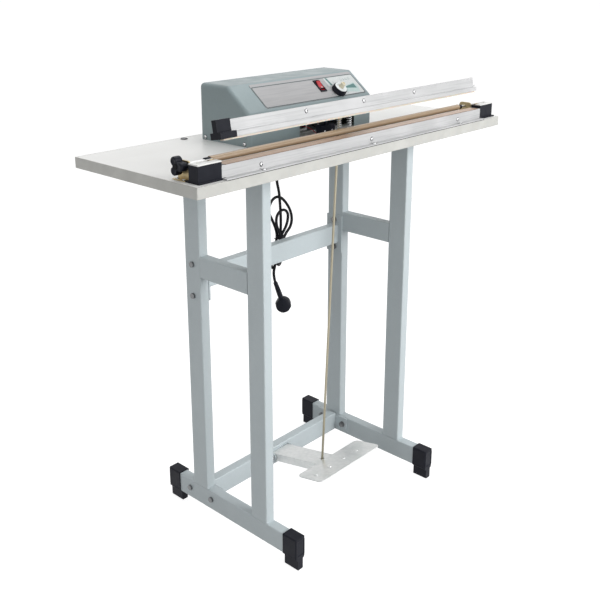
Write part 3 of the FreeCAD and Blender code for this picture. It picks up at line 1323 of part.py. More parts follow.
def build_cable():
    """The mains cable: gland, lead, tied hank, tail and plug, hanging under the table."""
    gland_low = UNDER + " - gland_long"
    gland = cylinder("gland_body", "gland_radius",
                     ("cable_x", from_front("cable_back"), gland_low), "gland_long")
    gland_bore = cylinder("gland_bore", "cable_radius",
                          ("cable_x", from_front("cable_back"), gland_low + " - 1"),
                          "gland_long + 2")
    node("cable_gland", cut("gland", gland, gland_bore))

    out = Vector(value("cable_x"), value(from_front("cable_back")), value(gland_low))
    hank_front = value(REAR_LEG_MID + " + tube_thin / 2 + hank_clear")
    low_left = Vector(value("hank_left"), hank_front + value("hank_thick") / 2,
                      value("hank_low"))
    hank_top = low_left + Vector(value("lead_shift"), 0, value("hank_high"))
    lead = [
        out + Vector(0, 0, value("gland_grip")),
        out + Vector(0.5, 5, -44),
        out + Vector(2, 20, -98),
        hank_top + Vector(0, 0, 22),
        hank_top,
    ]
    cord_tube("cable_lead", lead)
    hank_outline = [
        (0, 0), (22, 0), (32, 13), (38, 28), (44, 75), (56, 91), (71, 117), (69, 137), (56, 159),
        (40, value("hank_high")), (24, value("hank_high")), (12, 191), (2, 187), (2, 143),
        (6, 108), (19, 81), (16, 58), (2, 13),
    ]
    corners = [low_left + Vector(across, 0, up) for across, up in hank_outline]
    face = Part.Face(Part.makePolygon(corners + corners[:1]))
    face.translate(Vector(0, -value("hank_thick") / 2, 0))
    hank = doc.addObject("Part::Feature", "hank_solid")
    hank.Shape = face.extrude(Vector(0, value("hank_thick"), 0))
    node("cable_hank", hank)

    turn = math.radians(value("plug_turn"))
    slant = math.radians(value("plug_slant"))
    side = Vector(math.cos(turn), -math.sin(turn), 0)
    to_plug = side * math.sin(slant) - Vector(0, 0, math.cos(slant))
    run = value("tail_run")
    hank_foot = low_left + Vector(value("tail_shift"), 0, 0)
    bend = hank_foot - Vector(0, 0, run)
    cord_tube("cable_tail", [hank_foot, bend, bend + to_plug * run])
    build_plug(bend + to_plug * run, to_plug)


def build_plug(start, along_cord):
    """The round plug with the cord's sleeve at its rim and two pins on its back."""
    axis = Vector(0, 0, 1).cross(along_cord)
    axis.normalize()
    centre = start + along_cord * value("plug_reach")
    to_face = axis * (value("plug_deep") / 2)
    head = Part.makeCylinder(value("plug_radius"), value("plug_deep"), centre - to_face, axis)
    relief = Part.makeCone(value("relief_radius"), value("relief_end"), value("relief_long"),
                           start, along_cord)
    plug = doc.addObject("Part::Feature", "plug_body")
    plug.Shape = head.fuse(relief).removeSplitter()
    node("mains_plug", plug)
    across = along_cord.cross(axis) * (value("pin_pitch") / 2)
    pins = [Part.makeCylinder(value("pin_radius"), value("pin_long"),
                              centre + to_face + offset, axis)
            for offset in (across, across * -1)]
    prongs = doc.addObject("Part::Feature", "plug_prongs")
    prongs.Shape = Part.makeCompound(pins)
    node("plug_pins", prongs)


def main():
    """Builds every sub-part, checks it and writes its file."""
    inner = build_stand()
    build_cross_tubes(inner)
    build_frame_bolts(inner)
    build_foot_caps()
    bolt_x = build_straps()
    build_table(bolt_x)
    build_housing()
    build_chassis()
    build_panel_parts()
    build_electrics()
    build_trigger()
    build_lower_jaw()
    build_end_blocks()
    build_film()
    build_film_roll()
    mid, web = build_upper_jaw()
    build_lever(mid, web)
    build_pivot(over_table("sheet_thick"))
    build_springs()
    build_pull_rod()
    build_pedal()
    build_cable()
    doc.recompute()

    for item in doc.Objects:
        if "Invalid" in item.State or "Error" in item.State:
            raise RuntimeError("%s is %s" % (item.Label, item.State))
    for piece in nodes:
        if piece.Shape.isNull() or not piece.Shape.isValid():
            raise RuntimeError("%s has no sound shape" % piece.Label)
    os.makedirs("parts", exist_ok=True)
    for piece in nodes:
        piece.Shape.exportStep("parts/%s.step" % piece.Label)
    print("%d sub-parts" % len(nodes))


main()
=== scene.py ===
"""Looks of the foot-pedal bag sealer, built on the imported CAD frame."""

import json
import math
import bmesh
import bpy
from mathutils import Matrix, Vector


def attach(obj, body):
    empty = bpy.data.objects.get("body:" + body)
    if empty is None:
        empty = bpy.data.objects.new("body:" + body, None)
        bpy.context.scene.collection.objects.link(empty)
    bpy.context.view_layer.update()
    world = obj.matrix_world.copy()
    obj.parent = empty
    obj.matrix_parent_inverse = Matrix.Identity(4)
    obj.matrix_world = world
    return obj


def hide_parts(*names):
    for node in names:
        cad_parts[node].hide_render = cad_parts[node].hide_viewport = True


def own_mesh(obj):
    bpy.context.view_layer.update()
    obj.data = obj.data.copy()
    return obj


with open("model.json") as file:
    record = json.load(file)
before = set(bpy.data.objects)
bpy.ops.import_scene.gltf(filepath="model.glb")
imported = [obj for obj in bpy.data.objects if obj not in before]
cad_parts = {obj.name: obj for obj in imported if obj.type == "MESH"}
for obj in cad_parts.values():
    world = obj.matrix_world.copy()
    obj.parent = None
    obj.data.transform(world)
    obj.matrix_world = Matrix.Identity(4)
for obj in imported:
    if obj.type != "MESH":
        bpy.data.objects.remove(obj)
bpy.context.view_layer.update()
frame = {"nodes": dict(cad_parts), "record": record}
nodes = frame["nodes"]
scene = bpy.context.scene
MM = 0.001


# Camera

def make_camera():
    """The photograph's view, from the solved camera."""
    yaw, pitch = 0.8245, 0.2924
    focal_pixels, photo_pixels = 871.9, 600
    data = bpy.data.cameras.new("photo_camera")
    camera = bpy.data.objects.new("photo_camera", data)
    scene.collection.objects.link(camera)
    forward = Vector((math.sin(yaw) * math.cos(pitch), math.cos(yaw) * math.cos(pitch),
                      -math.sin(pitch)))
    camera.location = (-1.4469, -1.3269, 1.2915)
    camera.rotation_mode = "QUATERNION"
    camera.rotation_quaternion = forward.to_track_quat("-Z", "Y")
    data.sensor_width = 36
    data.lens = focal_pixels * data.sensor_width / photo_pixels
    data.shift_y = -0.125
    data.clip_start = 0.01
    data.clip_end = 400
    scene.camera = camera


# Material building

class Shader:
    """A node material with a few short ways to add what a surface needs."""

    def __init__(self, name, color, roughness, metallic=0.0):
        self.material = bpy.data.materials.new(name)
        self.material.use_nodes = True
        self.tree = self.material.node_tree
        self.surface = self.tree.nodes["Principled BSDF"]
        self.surface.inputs["Base Color"].default_value = (*color, 1)
        self.surface.inputs["Roughness"].default_value = roughness
        self.surface.inputs["Metallic"].default_value = metallic
        self.material.diffuse_color = (*color, 1)
        self.normal = None

    def new(self, kind, **inputs):
        """Adds a node and sets its inputs by name, with _ for a space."""
        made = self.tree.nodes.new(kind)
        for name, setting in inputs.items():
            made.inputs[name.replace("_", " ")].default_value = setting
        return made

    def link(self, start, end):
        self.tree.links.new(start, end)

    def places(self, stretch=(1, 1, 1)):
        """Object coordinates, stretched along an axis for grain."""
        source = self.new("ShaderNodeTexCoord")
        mapping = self.new("ShaderNodeMapping")
        mapping.inputs["Scale"].default_value = stretch
        self.link(source.outputs["Object"], mapping.inputs["Vector"])
        return mapping.outputs["Vector"]

    def coordinate(self, axis):
        """One object coordinate, in metres."""
        parts = self.new("ShaderNodeSeparateXYZ")
        self.link(self.places(), parts.inputs["Vector"])
        return parts.outputs[axis]

    def noise(self, scale, detail, stretch=(1, 1, 1)):
        """Clouds of tone, finer with a larger scale."""
        texture = self.new("ShaderNodeTexNoise", Scale=scale, Detail=detail)
        self.link(self.places(stretch), texture.inputs["Vector"])
        return texture.outputs["Fac"]

    def ramp(self, value, low, high, low_to, high_to):
        """Maps a range of a value onto another one."""
        change = self.new("ShaderNodeMapRange")
        self.link(value, change.inputs["Value"])
        for name, number in (("From Min", low), ("From Max", high), ("To Min", low_to),
                             ("To Max", high_to)):
            change.inputs[name].default_value = number
        return change.outputs["Result"]

    def vary_color(self, value, other, low, high, share):
        """Mixes the surface's colour towards another one where the value is high."""
        mix = self.new("ShaderNodeMix")
        mix.data_type = "RGBA"
        base = self.surface.inputs["Base Color"]
        if base.is_linked:
            self.link(base.links[0].from_socket, mix.inputs["A"])
        else:
            mix.inputs["A"].default_value = base.default_value
        mix.inputs["B"].default_value = (*other, 1)
        self.link(self.ramp(value, low, high, 0, share), mix.inputs["Factor"])
        self.link(mix.outputs["Result"], base)
        return self

    def vary_roughness(self, value, low, high):
        """Spreads the roughness between two levels by the value."""
        self.link(self.ramp(value, 0.35, 0.65, low, high), self.surface.inputs["Roughness"])
        return self

    def edges(self, radius):
        """Softens the solids' crisp edges in the light."""
        bevel = self.new("ShaderNodeBevel")
        bevel.samples = 6
        bevel.inputs["Radius"].default_value = radius
        if self.normal:
            self.link(self.normal, bevel.inputs["Normal"])
        self.normal = bevel.outputs["Normal"]
        self.link(self.normal, self.surface.inputs["Normal"])
        return self

    def wear(self, radius, color, share):
        """Paints the edges, found where the rounded normal leaves the true one."""
        bevel = self.new("ShaderNodeBevel")
        bevel.samples = 6
        bevel.inputs["Radius"].default_value = radius
        geometry = self.new("ShaderNodeNewGeometry")
        product = self.new("ShaderNodeVectorMath")
        product.operation = "DOT_PRODUCT"
        self.link(bevel.outputs["Normal"], product.inputs[0])
        self.link(geometry.outputs["Normal"], product.inputs[1])
        return self.vary_color(self.ramp(product.outputs["Value"], 1, 0.9, 0, 1), color, 0.1, 0.9,
                               share)

    def bump(self, value, strength, distance):
        """Adds relief on top of what the surface has so far."""
        made = self.new("ShaderNodeBump", Strength=strength, Distance=distance)
        self.link(value, made.inputs["Height"])
        if self.normal:
            self.link(self.normal, made.inputs["Normal"])
        self.normal = made.outputs["Normal"]
        self.link(self.normal, self.surface.inputs["Normal"])
        return self

    def set(self, **inputs):
        """Sets the surface's own inputs by name, with _ for a space."""
        for name, setting in inputs.items():
            self.surface.inputs[name.replace("_", " ")].default_value = setting
        return self


def painted(name, color, roughness=0.42):
    """Powder coat: a faint orange peel, cloudy tone and paler edges."""
    made = Shader(name, color, roughness)
    made.vary_color(made.noise(9, 4), [c * 0.92 for c in color], 0.35, 0.75, 0.5)
    made.vary_color(made.noise(160, 2), [c * 1.06 for c in color], 0.5, 0.8, 0.5)
    made.wear(0.0012, [min(1, c * 1.18 + 0.03) for c in color], 0.55)
    made.vary_roughness(made.noise(30, 3), roughness - 0.05, roughness + 0.08)
    made.edges(0.0012)
    made.bump(made.noise(900, 2), 0.06, 0.0004)
    return made.set(Specular_IOR_Level=0.25 if max(color) < 0.1 else 0.45).material


def brushed(name, color, roughness, along, grain, metallic=1.0):
    """Metal with fine drawn lines along an axis."""
    made = Shader(name, color, roughness, metallic)
    lines = made.noise(240, 3, along)
    made.vary_color(lines, [c * 0.84 for c in color], 0.35, 0.7, 0.5)
    made.vary_color(made.noise(14, 3), [c * 0.92 for c in color], 0.45, 0.7, 0.4)
    made.vary_roughness(lines, roughness - 0.06, roughness + 0.1)
    made.edges(0.0006)
    return made.bump(lines, grain, 0.0002).material


def moulded(name, color, roughness=0.45, texture=0.15):
    """Moulded plastic with a fine grain and a faint bloom."""
    made = Shader(name, color, roughness)
    made.vary_color(made.noise(25, 4), [min(1, c * 1.25 + 0.006) for c in color], 0.45, 0.75, 0.5)
    made.vary_roughness(made.noise(60, 3), roughness - 0.08, roughness + 0.1)
    made.edges(0.001)
    if max(color) < 0.1:
        made.set(Specular_IOR_Level=0.1)
    return made.bump(made.noise(1400, 2), texture, 0.0003).material


def laminate():
    """White board with a faint speckle and long soft smudges."""
    made = Shader("laminate", (0.76, 0.76, 0.745), 0.38)
    made.vary_color(made.noise(700, 2), (0.68, 0.68, 0.655), 0.52, 0.75, 0.5)
    made.vary_color(made.noise(3, 5, (1, 2.5, 1)), (0.70, 0.70, 0.68), 0.45, 0.75, 0.5)
    made.vary_roughness(made.noise(8, 4), 0.30, 0.46)
    made.edges(0.0008)
    return made.bump(made.noise(500, 2), 0.05, 0.0003).material


def extrusion():
    """Anodised aluminium, drawn along its length, with pale streaks and handling marks."""
    made = Shader("bar_metal", (0.46, 0.462, 0.465), 0.55, 0.12)
    made.vary_color(made.noise(60, 4, (0.04, 1, 1)), (0.40, 0.405, 0.41), 0.42, 0.7, 0.8)
    made.vary_color(made.noise(11, 4, (1, 1, 1.6)), (0.54, 0.54, 0.545), 0.48, 0.7, 0.6)
    made.vary_color(made.noise(400, 2, (0.02, 1, 1)), (0.33, 0.335, 0.34), 0.52, 0.75, 0.7)
    made.vary_roughness(made.noise(40, 3, (0.05, 1, 1)), 0.44, 0.58)
    made.edges(0.0006)
    return made.bump(made.noise(300, 2, (0.02, 1, 1)), 0.08, 0.0002).material


def spangled_zinc():
    """Galvanised sheet: soft crystals, a dull patina and scuffs."""
    made = Shader("zinc_sheet", (0.74, 0.75, 0.745), 0.4, 0.6)
    crystals = made.new("ShaderNodeTexVoronoi", Scale=95.0)
    made.link(made.places(), crystals.inputs["Vector"])
    made.vary_color(crystals.outputs["Distance"], (0.64, 0.66, 0.655), 0.2, 0.8, 0.6)
    made.vary_color(made.noise(18, 4), (0.58, 0.62, 0.605), 0.5, 0.75, 0.7)
    made.vary_color(made.noise(120, 4, (1, 0.15, 1)), (0.84, 0.85, 0.85), 0.6, 0.75, 0.5)
    made.vary_roughness(made.noise(25, 4), 0.32, 0.5)
    made.edges(0.0006)
    return made.bump(made.noise(260, 3), 0.12, 0.0003).material


def coated_cloth(name, color, hot, shine):
    """Glass cloth: a fine weave under a glossy coat, browner where it has been hot."""
    made = Shader(name, color, 0.34)
    made.vary_color(made.noise(20, 4, (0.2, 1, 1)), [min(1, c * 1.2 + 0.03) for c in color], 0.4,
                    0.7, 0.7)
    made.vary_color(made.noise(5, 3, (0.4, 1, 1)), hot, 0.45, 0.75, 0.7)
    places = made.places()
    threads = []
    for direction in ("X", "Y"):
        wave = made.new("ShaderNodeTexWave", Scale=900.0, Distortion=0.0)
        wave.bands_direction = direction
        made.link(places, wave.inputs["Vector"])
        threads.append(wave.outputs["Fac"])
    product = made.new("ShaderNodeMath")
    product.operation = "MULTIPLY"
    made.link(threads[0], product.inputs[0])
    made.link(threads[1], product.inputs[1])
    made.bump(product.outputs["Value"], 0.2, 0.0002)
    made.bump(made.noise(45, 3, (0.15, 1, 1)), 0.3, 0.0006)
    return made.set(Coat_Weight=shine, Coat_Roughness=0.25)


def film_cloth():
    """The film: paler on the bar than on its slope down to the roll, which is painted shade, with a
    painted shade line at its front edge and a paler painted highlight line along the bar.
    """
    made = coated_cloth("film_cloth", (0.45, 0.30, 0.205), (0.37, 0.23, 0.15), 0.25)
    across = made.coordinate("Y")
    # Painted shade: the film's slope from the bar's back edge down to the roll is darkened.
    made.vary_color(across, (0.26, 0.165, 0.095), -0.174, -0.171, 0.85)
    # Painted shade: a dark line along the film's front edge, where it turns down over the bar's
    # front.
    made.vary_color(across, (0.13, 0.07, 0.04), -0.195, -0.1958, 0.9)
    # Painted highlight: a paler line along the film on top of the bar.
    highlight_line = made.new("ShaderNodeMath", Value=0.0)
    highlight_line.operation = "PINGPONG"
    made.link(made.ramp(across, -0.1875, -0.1815, 0, 2), highlight_line.inputs[0])
    highlight_line.inputs[1].default_value = 1
    return made.vary_color(highlight_line.outputs["Value"], (0.60, 0.47, 0.38), 0.1, 0.9, 0.5).material


def silicone():
    """Soft pale rubber, warm where light goes into it."""
    made = Shader("silicone", (0.62, 0.545, 0.45), 0.5)
    made.vary_color(made.noise(30, 3), (0.64, 0.59, 0.52), 0.4, 0.7, 0.6)
    made.set(Subsurface_Weight=0.25, Subsurface_Scale=0.002)
    return made.bump(made.noise(600, 2), 0.1, 0.0003).material


def lens_red():
    """The rocker's clear red cover."""
    made = Shader("lens_red", (0.30, 0.006, 0.012), 0.2)
    made.vary_color(made.noise(180, 2), (0.5, 0.02, 0.03), 0.4, 0.7, 0.6)
    made.bump(made.noise(500, 1), 0.05, 0.0003)
    return made.set(Coat_Weight=0.3, Coat_Roughness=0.1).material


def ink(name, color):
    """Printing ink with a slightly uneven lay."""
    made = Shader(name, color, 0.4)
    made.vary_color(made.noise(400, 2), [min(1, c * 1.3 + 0.02) for c in color], 0.45, 0.7, 0.5)
    return made.material


def banded(name, color, other, scale, direction, metallic, roughness):
    """Layers seen from the side, such as a winding or stacked sheets."""
    made = Shader(name, color, roughness, metallic)
    lines = made.new("ShaderNodeTexWave", Scale=scale, Distortion=0.3)
    lines.bands_direction = direction
    made.link(made.places(), lines.inputs["Vector"])
    made.vary_color(lines.outputs["Fac"], other, 0.4, 0.8, 0.65)
    return made.bump(lines.outputs["Fac"], 0.4, 0.0005).material


def circuit():
    """A green board with paler tracks."""
    made = Shader("circuit", (0.02, 0.18, 0.07), 0.35)
    tracks = made.new("ShaderNodeTexBrick", Scale=260.0)
    tracks.inputs["Mortar Size"].default_value = 0.04
    made.link(made.places(), tracks.inputs["Vector"])
    return made.vary_color(tracks.outputs["Fac"], (0.35, 0.33, 0.10), 0.4, 0.6, 0.8).material


# The look of each material slot
MATERIALS = {
    "frame_grey": painted("frame_paint", (0.475, 0.53, 0.55)),
    "housing_grey": painted("housing_paint", (0.20, 0.25, 0.26), 0.34),
    "board_laminate": laminate(),
    "band_cream": moulded("edge_band", (0.46, 0.46, 0.435), 0.4, 0.05),
    "bar_aluminium": extrusion(),
    "zinc_steel": brushed("zinc", (0.66, 0.665, 0.67), 0.34, (1, 1, 1), 0.1),
    "black_paint": painted("black_paint", (0.016, 0.017, 0.02), 0.3),
    "black_plastic": moulded("black_plastic", (0.009, 0.010, 0.015), 0.36),
    "cord_black": moulded("cord_sheath", (0.006, 0.006, 0.008), 0.42, 0.05),
    "cap_black": moulded("cap_plastic", (0.011, 0.012, 0.018), 0.38, 0.2),
    "lid_white": moulded("lid_plastic", (0.66, 0.66, 0.645), 0.4, 0.05),
    "panel_silver": brushed("panel_metal", (0.31, 0.31, 0.315), 0.6, (0.05, 1, 1), 0.05, 0.0),
    "rocker_red": lens_red(),
    "hub_cream": moulded("hub_plastic", (0.55, 0.52, 0.40), 0.35, 0.05),
    "brass_rod": brushed("brass", (0.50, 0.40, 0.23), 0.36, (1, 1, 0.1), 0.15),
    "silicone": silicone(),
    "ptfe_tan": coated_cloth("roll_cloth", (0.28, 0.205, 0.13), (0.20, 0.135, 0.08), 0.35).material,
    "nichrome": brushed("nichrome", (0.45, 0.42, 0.38), 0.4, (0.05, 1, 1), 0.1),
    "core_steel": banded("laminations", (0.20, 0.20, 0.21), (0.09, 0.09, 0.10), 320.0, "Y", 0.7,
                         0.5),
    "coil_tape": banded("winding", (0.62, 0.40, 0.10), (0.40, 0.22, 0.05), 160.0, "Z", 0.0, 0.35),
    "circuit_green": circuit(),
    "spring_steel": brushed("spring_wire", (0.72, 0.73, 0.74), 0.22, (1, 1, 1), 0.05),
}

# Looks of single nodes, by name, and of the scene's own pieces where the slot's look won't do
LOOKS = {
    "pedal_arm": spangled_zinc(),
    "dark_ink": ink("dark_ink", (0.03, 0.05, 0.055)),
    "green_ink": ink("green_ink", (0.045, 0.13, 0.125)),
    "pale_ink": ink("pale_ink", (0.56, 0.59, 0.59)),
    "tint_ink": ink("tint_ink", (0.33, 0.42, 0.41)),
    "field_ink": ink("field_ink", (0.42, 0.44, 0.44)),
    "pull_rod": brushed("rod_metal", (0.36, 0.33, 0.25), 0.4, (1, 1, 0.1), 0.15),
    "table_bolts": brushed("bolt_steel", (0.20, 0.205, 0.21), 0.4, (1, 1, 1), 0.1),
    # Painted shade: the tray inside the housing is near black for the dark seen through the mouth.
    "chassis_tray": painted("tray_painted_shade", (0.05, 0.055, 0.055)),
    "film_cloth": film_cloth(),
    # Near black: painted shade and shadow in screw recesses, slots, rings under heads and the line
    # under the bar; also the rocker's dark ends and the knob's insert.
    "black_and_painted_shade": moulded("black_and_painted_shade", (0.006, 0.006, 0.007), 0.7, 0.1),
}
LOOKS["pedal_tread"] = LOOKS["pedal_arm"]
LOOKS["frame_bolts"] = LOOKS["table_bolts"]


def dress_nodes():
    """Gives each CAD node the material of its slot."""
    slots = {part["node"]: part["material_slot"] for part in frame["record"]["subparts"]}
    for name, thing in nodes.items():
        for place in thing.material_slots:
            place.link = "OBJECT"
            place.material = LOOKS.get(name) or MATERIALS[slots[name]]


# Mesh building

def finish_mesh(name, mesh, body, slot, look=None, smooth=35):
    """Makes an object of a bmesh, in the row frame and in metres."""
    data = bpy.data.meshes.new(name)
    bmesh.ops.recalc_face_normals(mesh, faces=mesh.faces)
    mesh.to_mesh(data)
    mesh.free()
    piece = bpy.data.objects.new(name, data)
    scene.collection.objects.link(piece)
    data.materials.append(LOOKS[look] if look else MATERIALS[slot])
    for face in data.polygons:
        face.use_smooth = True
    data.set_sharp_from_angle(angle=math.radians(smooth))
    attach(piece, body)
    return piece


def lathe(mesh, profile, matrix, segments, shape=None):
    """Turns a profile of (radius, height) about Z, scaled by a shape of the angle if given."""
    rings = []
    for radius, height in profile:
        ring = []
        for step in range(segments):
            angle = 2 * math.pi * step / segments
            reach = radius * (shape(angle) if shape else 1)
            point = Vector((reach * math.cos(angle), reach * math.sin(angle), height)) * MM
            ring.append(mesh.verts.new(matrix @ point))
        rings.append(ring)
    for low, high in zip(rings, rings[1:]):
        for step in range(segments):
            after = (step + 1) % segments
            mesh.faces.new((low[step], low[after], high[after], high[step]))
    mesh.faces.new(list(reversed(rings[0])))
    mesh.faces.new(rings[-1])


def block(mesh, low, high, matrix=Matrix.Identity(4), bevel=0.4):
    """A box with softened edges, in millimetres, moved by the matrix."""
    size = [abs(b - a) for a, b in zip(low, high)]
    middle = [(a + b) / 2 for a, b in zip(low, high)]
    verts = bmesh.ops.create_cube(mesh, size=1)["verts"]
    for vert in verts:
        vert.co = Vector([(c * s + m) * MM for c, s, m in zip(vert.co, size, middle)])
    edges = list({edge for vert in verts for edge in vert.link_edges})
    rounded = bmesh.ops.bevel(mesh, geom=edges, offset=bevel * MM, segments=2, profile=0.5,
                              affect="EDGES")
    touched = set(rounded["verts"]) | {v for f in rounded["faces"] for v in f.verts}
    touched |= {v for v in verts if v.is_valid}
    for vert in touched:
        vert.co = matrix @ vert.co


def slab(mesh, outline, low, high, matrix, ease):
    """A flat piece of any convex or open outline, its upper rim eased inwards."""
    middle = sum((Vector(p) for p in outline), Vector((0, 0))) / len(outline)
    rings = []
    for height, inset in ((low, 0), (high - ease, 0), (high, ease)):
        ring = []
        for corner in outline:
            away = Vector(corner) - middle
            spot = middle + away * (1 - inset / max(away.length, inset + 0.01))
            ring.append(mesh.verts.new(matrix @ (Vector((*spot, height)) * MM)))
        rings.append(ring)
    count = len(outline)
    for lower, upper in zip(rings, rings[1:]):
        for step in range(count):
            after = (step + 1) % count
            mesh.faces.new((lower[step], lower[after], upper[after], upper[step]))
    mesh.faces.new(list(reversed(rings[0])))
    mesh.faces.new(rings[-1])


def rounded_outline(low, high, radius, steps=5):
    """A rectangle's outline with round corners."""
    corners = ((high[0], high[1], 0), (low[0], high[1], 90), (low[0], low[1], 180),
               (high[0], low[1], 270))
    outline = []
    for x, y, start in corners:
        middle = (x - radius if x == high[0] else x + radius,
                  y - radius if y == high[1] else y + radius)
        for step in range(steps + 1):
            angle = math.radians(start + 90 * step / steps)
            outline.append((middle[0] + radius * math.cos(angle),
                            middle[1] + radius * math.sin(angle)))
    return outline


def band(mesh, outer, inner, low, high, matrix):
    """A closed frame between two outlines of the same number of points."""
    rings = [[mesh.verts.new(matrix @ (Vector((*spot, height)) * MM)) for spot in outline]
             for outline, height in ((outer, low), (outer, high), (inner, high), (inner, low))]
    count = len(outer)
    for lower, upper in zip(rings, rings[1:] + rings[:1]):
        for step in range(count):
            after = (step + 1) % count
            mesh.faces.new((lower[step], lower[after], upper[after], upper[step]))


def frame_at(origin, up, across=(1, 0, 0)):
    """A matrix whose Z is up, whose X leans to across, with its origin in millimetres."""
    z = Vector(up).normalized()
    x = (Vector(across) - z * Vector(across).dot(z)).normalized()
    y = z.cross(x)
    turn = Matrix((x, y, z)).transposed().to_4x4()
    return Matrix.Translation(Vector(origin) * MM) @ turn


def lettering(mesh, words, size, matrix, rise):
    """Flat generic marks, such as a dial's numbers, in the plane of the matrix."""
    text = bpy.data.curves.new("mark", "FONT")
    text.body = words
    text.size = size * MM
    text.extrude = rise * MM
    text.align_x = "CENTER"
    text.align_y = "CENTER"
    text.resolution_u = 3
    holder = bpy.data.objects.new("mark", text)
    outline = bpy.data.meshes.new_from_object(holder)
    outline.transform(matrix)
    mesh.from_mesh(outline)
    bpy.data.objects.remove(holder)
    bpy.data.curves.remove(text)
    bpy.data.meshes.remove(outline)


def pan_head(mesh, marks, matrix, radius, height, turn):
    """A domed screw head; its cross recess and the ring under it, dark pieces of painted shade and
    painted shadow, go in a second mesh.
    """
    # Painted shadow: a dark ring under the head.
    lathe(marks, [(radius * 1.22, -0.2), (radius * 1.22, 0.12), (radius * 1.1, 0.25)], matrix, 24)
    lathe(mesh, [(radius * 0.92, 0), (radius, height * 0.2), (radius * 0.97, height * 0.5),
                 (radius * 0.8, height * 0.82), (radius * 0.45, height * 0.98),
                 (0.2, height)], matrix, 24)
    cross = matrix @ Matrix.Rotation(turn, 4, "Z")
    reach, half = radius * 0.55, radius * 0.13
    # Painted shade: a dark cross block where the recess is, not a hollow.
    block(marks, (-reach, -half, height * 0.7), (reach, half, height + 0.12), cross, 0.1)
    block(marks, (-half, -reach, height * 0.7), (half, reach, height + 0.12), cross, 0.1)


def finish_screws(heads, recesses, mesh, marks, body="stand", slot="zinc_steel"):
    """Makes the screw heads of one mesh and, in a dark look of painted shade, the recesses and
    rings of the other.
    """
    piece = finish_mesh(heads, mesh, body, slot)
    finish_mesh(recesses, marks, body, slot, "black_and_painted_shade")
    return piece


def wire(name, points, radius, body, slot):
    """A thin wire or bead along a smooth open line; a point's fourth number scales its radius."""
    curve = bpy.data.curves.new(name, "CURVE")
    curve.dimensions = "3D"
    # With a bevel depth of 1, each point's radius is the wire's radius there, in metres.
    curve.bevel_depth = 1
    curve.bevel_resolution = 3
    curve.resolution_u = 8
    curve.use_fill_caps = True
    line = curve.splines.new("NURBS")
    line.points.add(len(points) - 1)
    for point, place in zip(line.points, points):
        point.co = (*[c * MM for c in place[:3]], 1)
        point.radius = radius * MM * (place[3] if len(place) > 3 else 1)
    line.order_u = 3
    line.use_endpoint_u = True
    piece = bpy.data.objects.new(name, curve)
    scene.collection.objects.link(piece)
    curve.materials.append(MATERIALS[slot])
    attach(piece, body)
    return piece


# Places and sizes from the CAD, in millimetres
FRONT = -210
TOP = 920
BAR_HALF = 430
FILM_HALF = 422
END_BLOCK = 458
PRESS_LINE = -180.5
FRONT_RIB = -197
SCREW_HEAD = (3.8, 2.4)
SPRING_LINE = -104.6
MOUTH = (-50, 140)
TUBE_SIDES = (233, 258)
TABLE_BOLTS = (232, 143.5)
FOOT_MIDDLE = 245.5
FOOT_ENDS = (177, 217)

# The panel's slope and the jaw's rest
SLOPE = math.atan2(53, 66)
SLOPE_UP = Vector((0, math.cos(SLOPE), math.sin(SLOPE)))
SLOPE_OUT = Vector((0, -math.sin(SLOPE), math.cos(SLOPE)))
SLOPE_FOOT = Vector((0, -34, 990))
OPEN = math.radians(10.5)
JAW_PIVOT = Vector((0, 30, 960))
ROLL = Vector((0, -144, 946))
KNOB = (102, 24)
SWITCH = (57, 47)


def panel_matrix(x, up, out=0.8):
    """The panel's own frame at a place on it: X across, Y up the slope, Z out."""
    origin = Vector((x, 0, 0)) + SLOPE_FOOT + SLOPE_UP * up + SLOPE_OUT * out
    return frame_at(origin, SLOPE_OUT)


def opened(point):
    """Where a point of the shut jaw lies at rest."""
    away = Vector(point) - JAW_PIVOT
    return JAW_PIVOT + Matrix.Rotation(-OPEN, 3, "X") @ away


def turned_away(direction):
    """Where a direction of the shut jaw points at rest."""
    return Matrix.Rotation(-OPEN, 3, "X") @ Vector(direction)


# Mains cable

CABLE_RADIUS = 3.5
PLUG_TURN = math.radians(47.2)
PLUG_SLANT = math.radians(18.5)
PLUG_REACH = 63
LEAD = [(36, 106, 892), (36.5, 111, 838), (38, 126, 784), (53, 131, 750), (58, 133, 722),
        (63, 135, 685), (64, 136, 655), (62, 136, 631)]
FIRST_TURN = [(66, 144, 602), (64, 153, 572), (57.5, 149.5, 555), (42, 141, 548),
              (26.5, 132.5, 555), (20, 129, 573), (33, 131, 602), (46.5, 131.5, 631),
              (41, 131, 655), (27, 130, 682), (13, 128, 702), (14, 127.3, 719),
              (23, 126.5, 733), (37.5, 126, 739.5), (54, 125.5, 735), (71, 125, 719),
              (86, 124.3, 697), (93, 124, 672), (87, 124.5, 651), (73, 125.5, 640),
              (61, 126.5, 622)]
SECOND_TURN = [(64, 131, 602), (70.5, 140, 582), (64.5, 136.5, 564.5), (49.5, 128, 557),
               (34.5, 119.5, 564.5), (28, 116, 582), (37, 119.5, 603), (49, 122.5, 631),
               (43, 122.5, 650), (34, 122.5, 668), (34, 122.5, 689), (47, 122.5, 702),
               (65, 123, 702), (78, 124, 689), (78, 125, 671), (72, 127, 652), (58, 130, 634)]
TAIL = [(50, 130, 606), (41, 128.5, 584), (33, 127, 562), (28.9, 130.2, 537),
        (32.45, 126.3, 515.8)]

# The tie's height, and where the strands pass through it
TIE_HEIGHT = 631
STRANDS = ((62, 136), (46.5, 131.5), (61, 126.5), (49, 122.5), (54, 130))


def make_cable():
    """The lead, its tied hank and the tail to the plug, as one cord."""
    cable = wire("mains_cable", LEAD + FIRST_TURN + SECOND_TURN + TAIL, CABLE_RADIUS, "stand",
                 "cord_black")
    cable.data.bevel_resolution = 5
    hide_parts("cable_lead", "cable_hank", "cable_tail")
    return cable


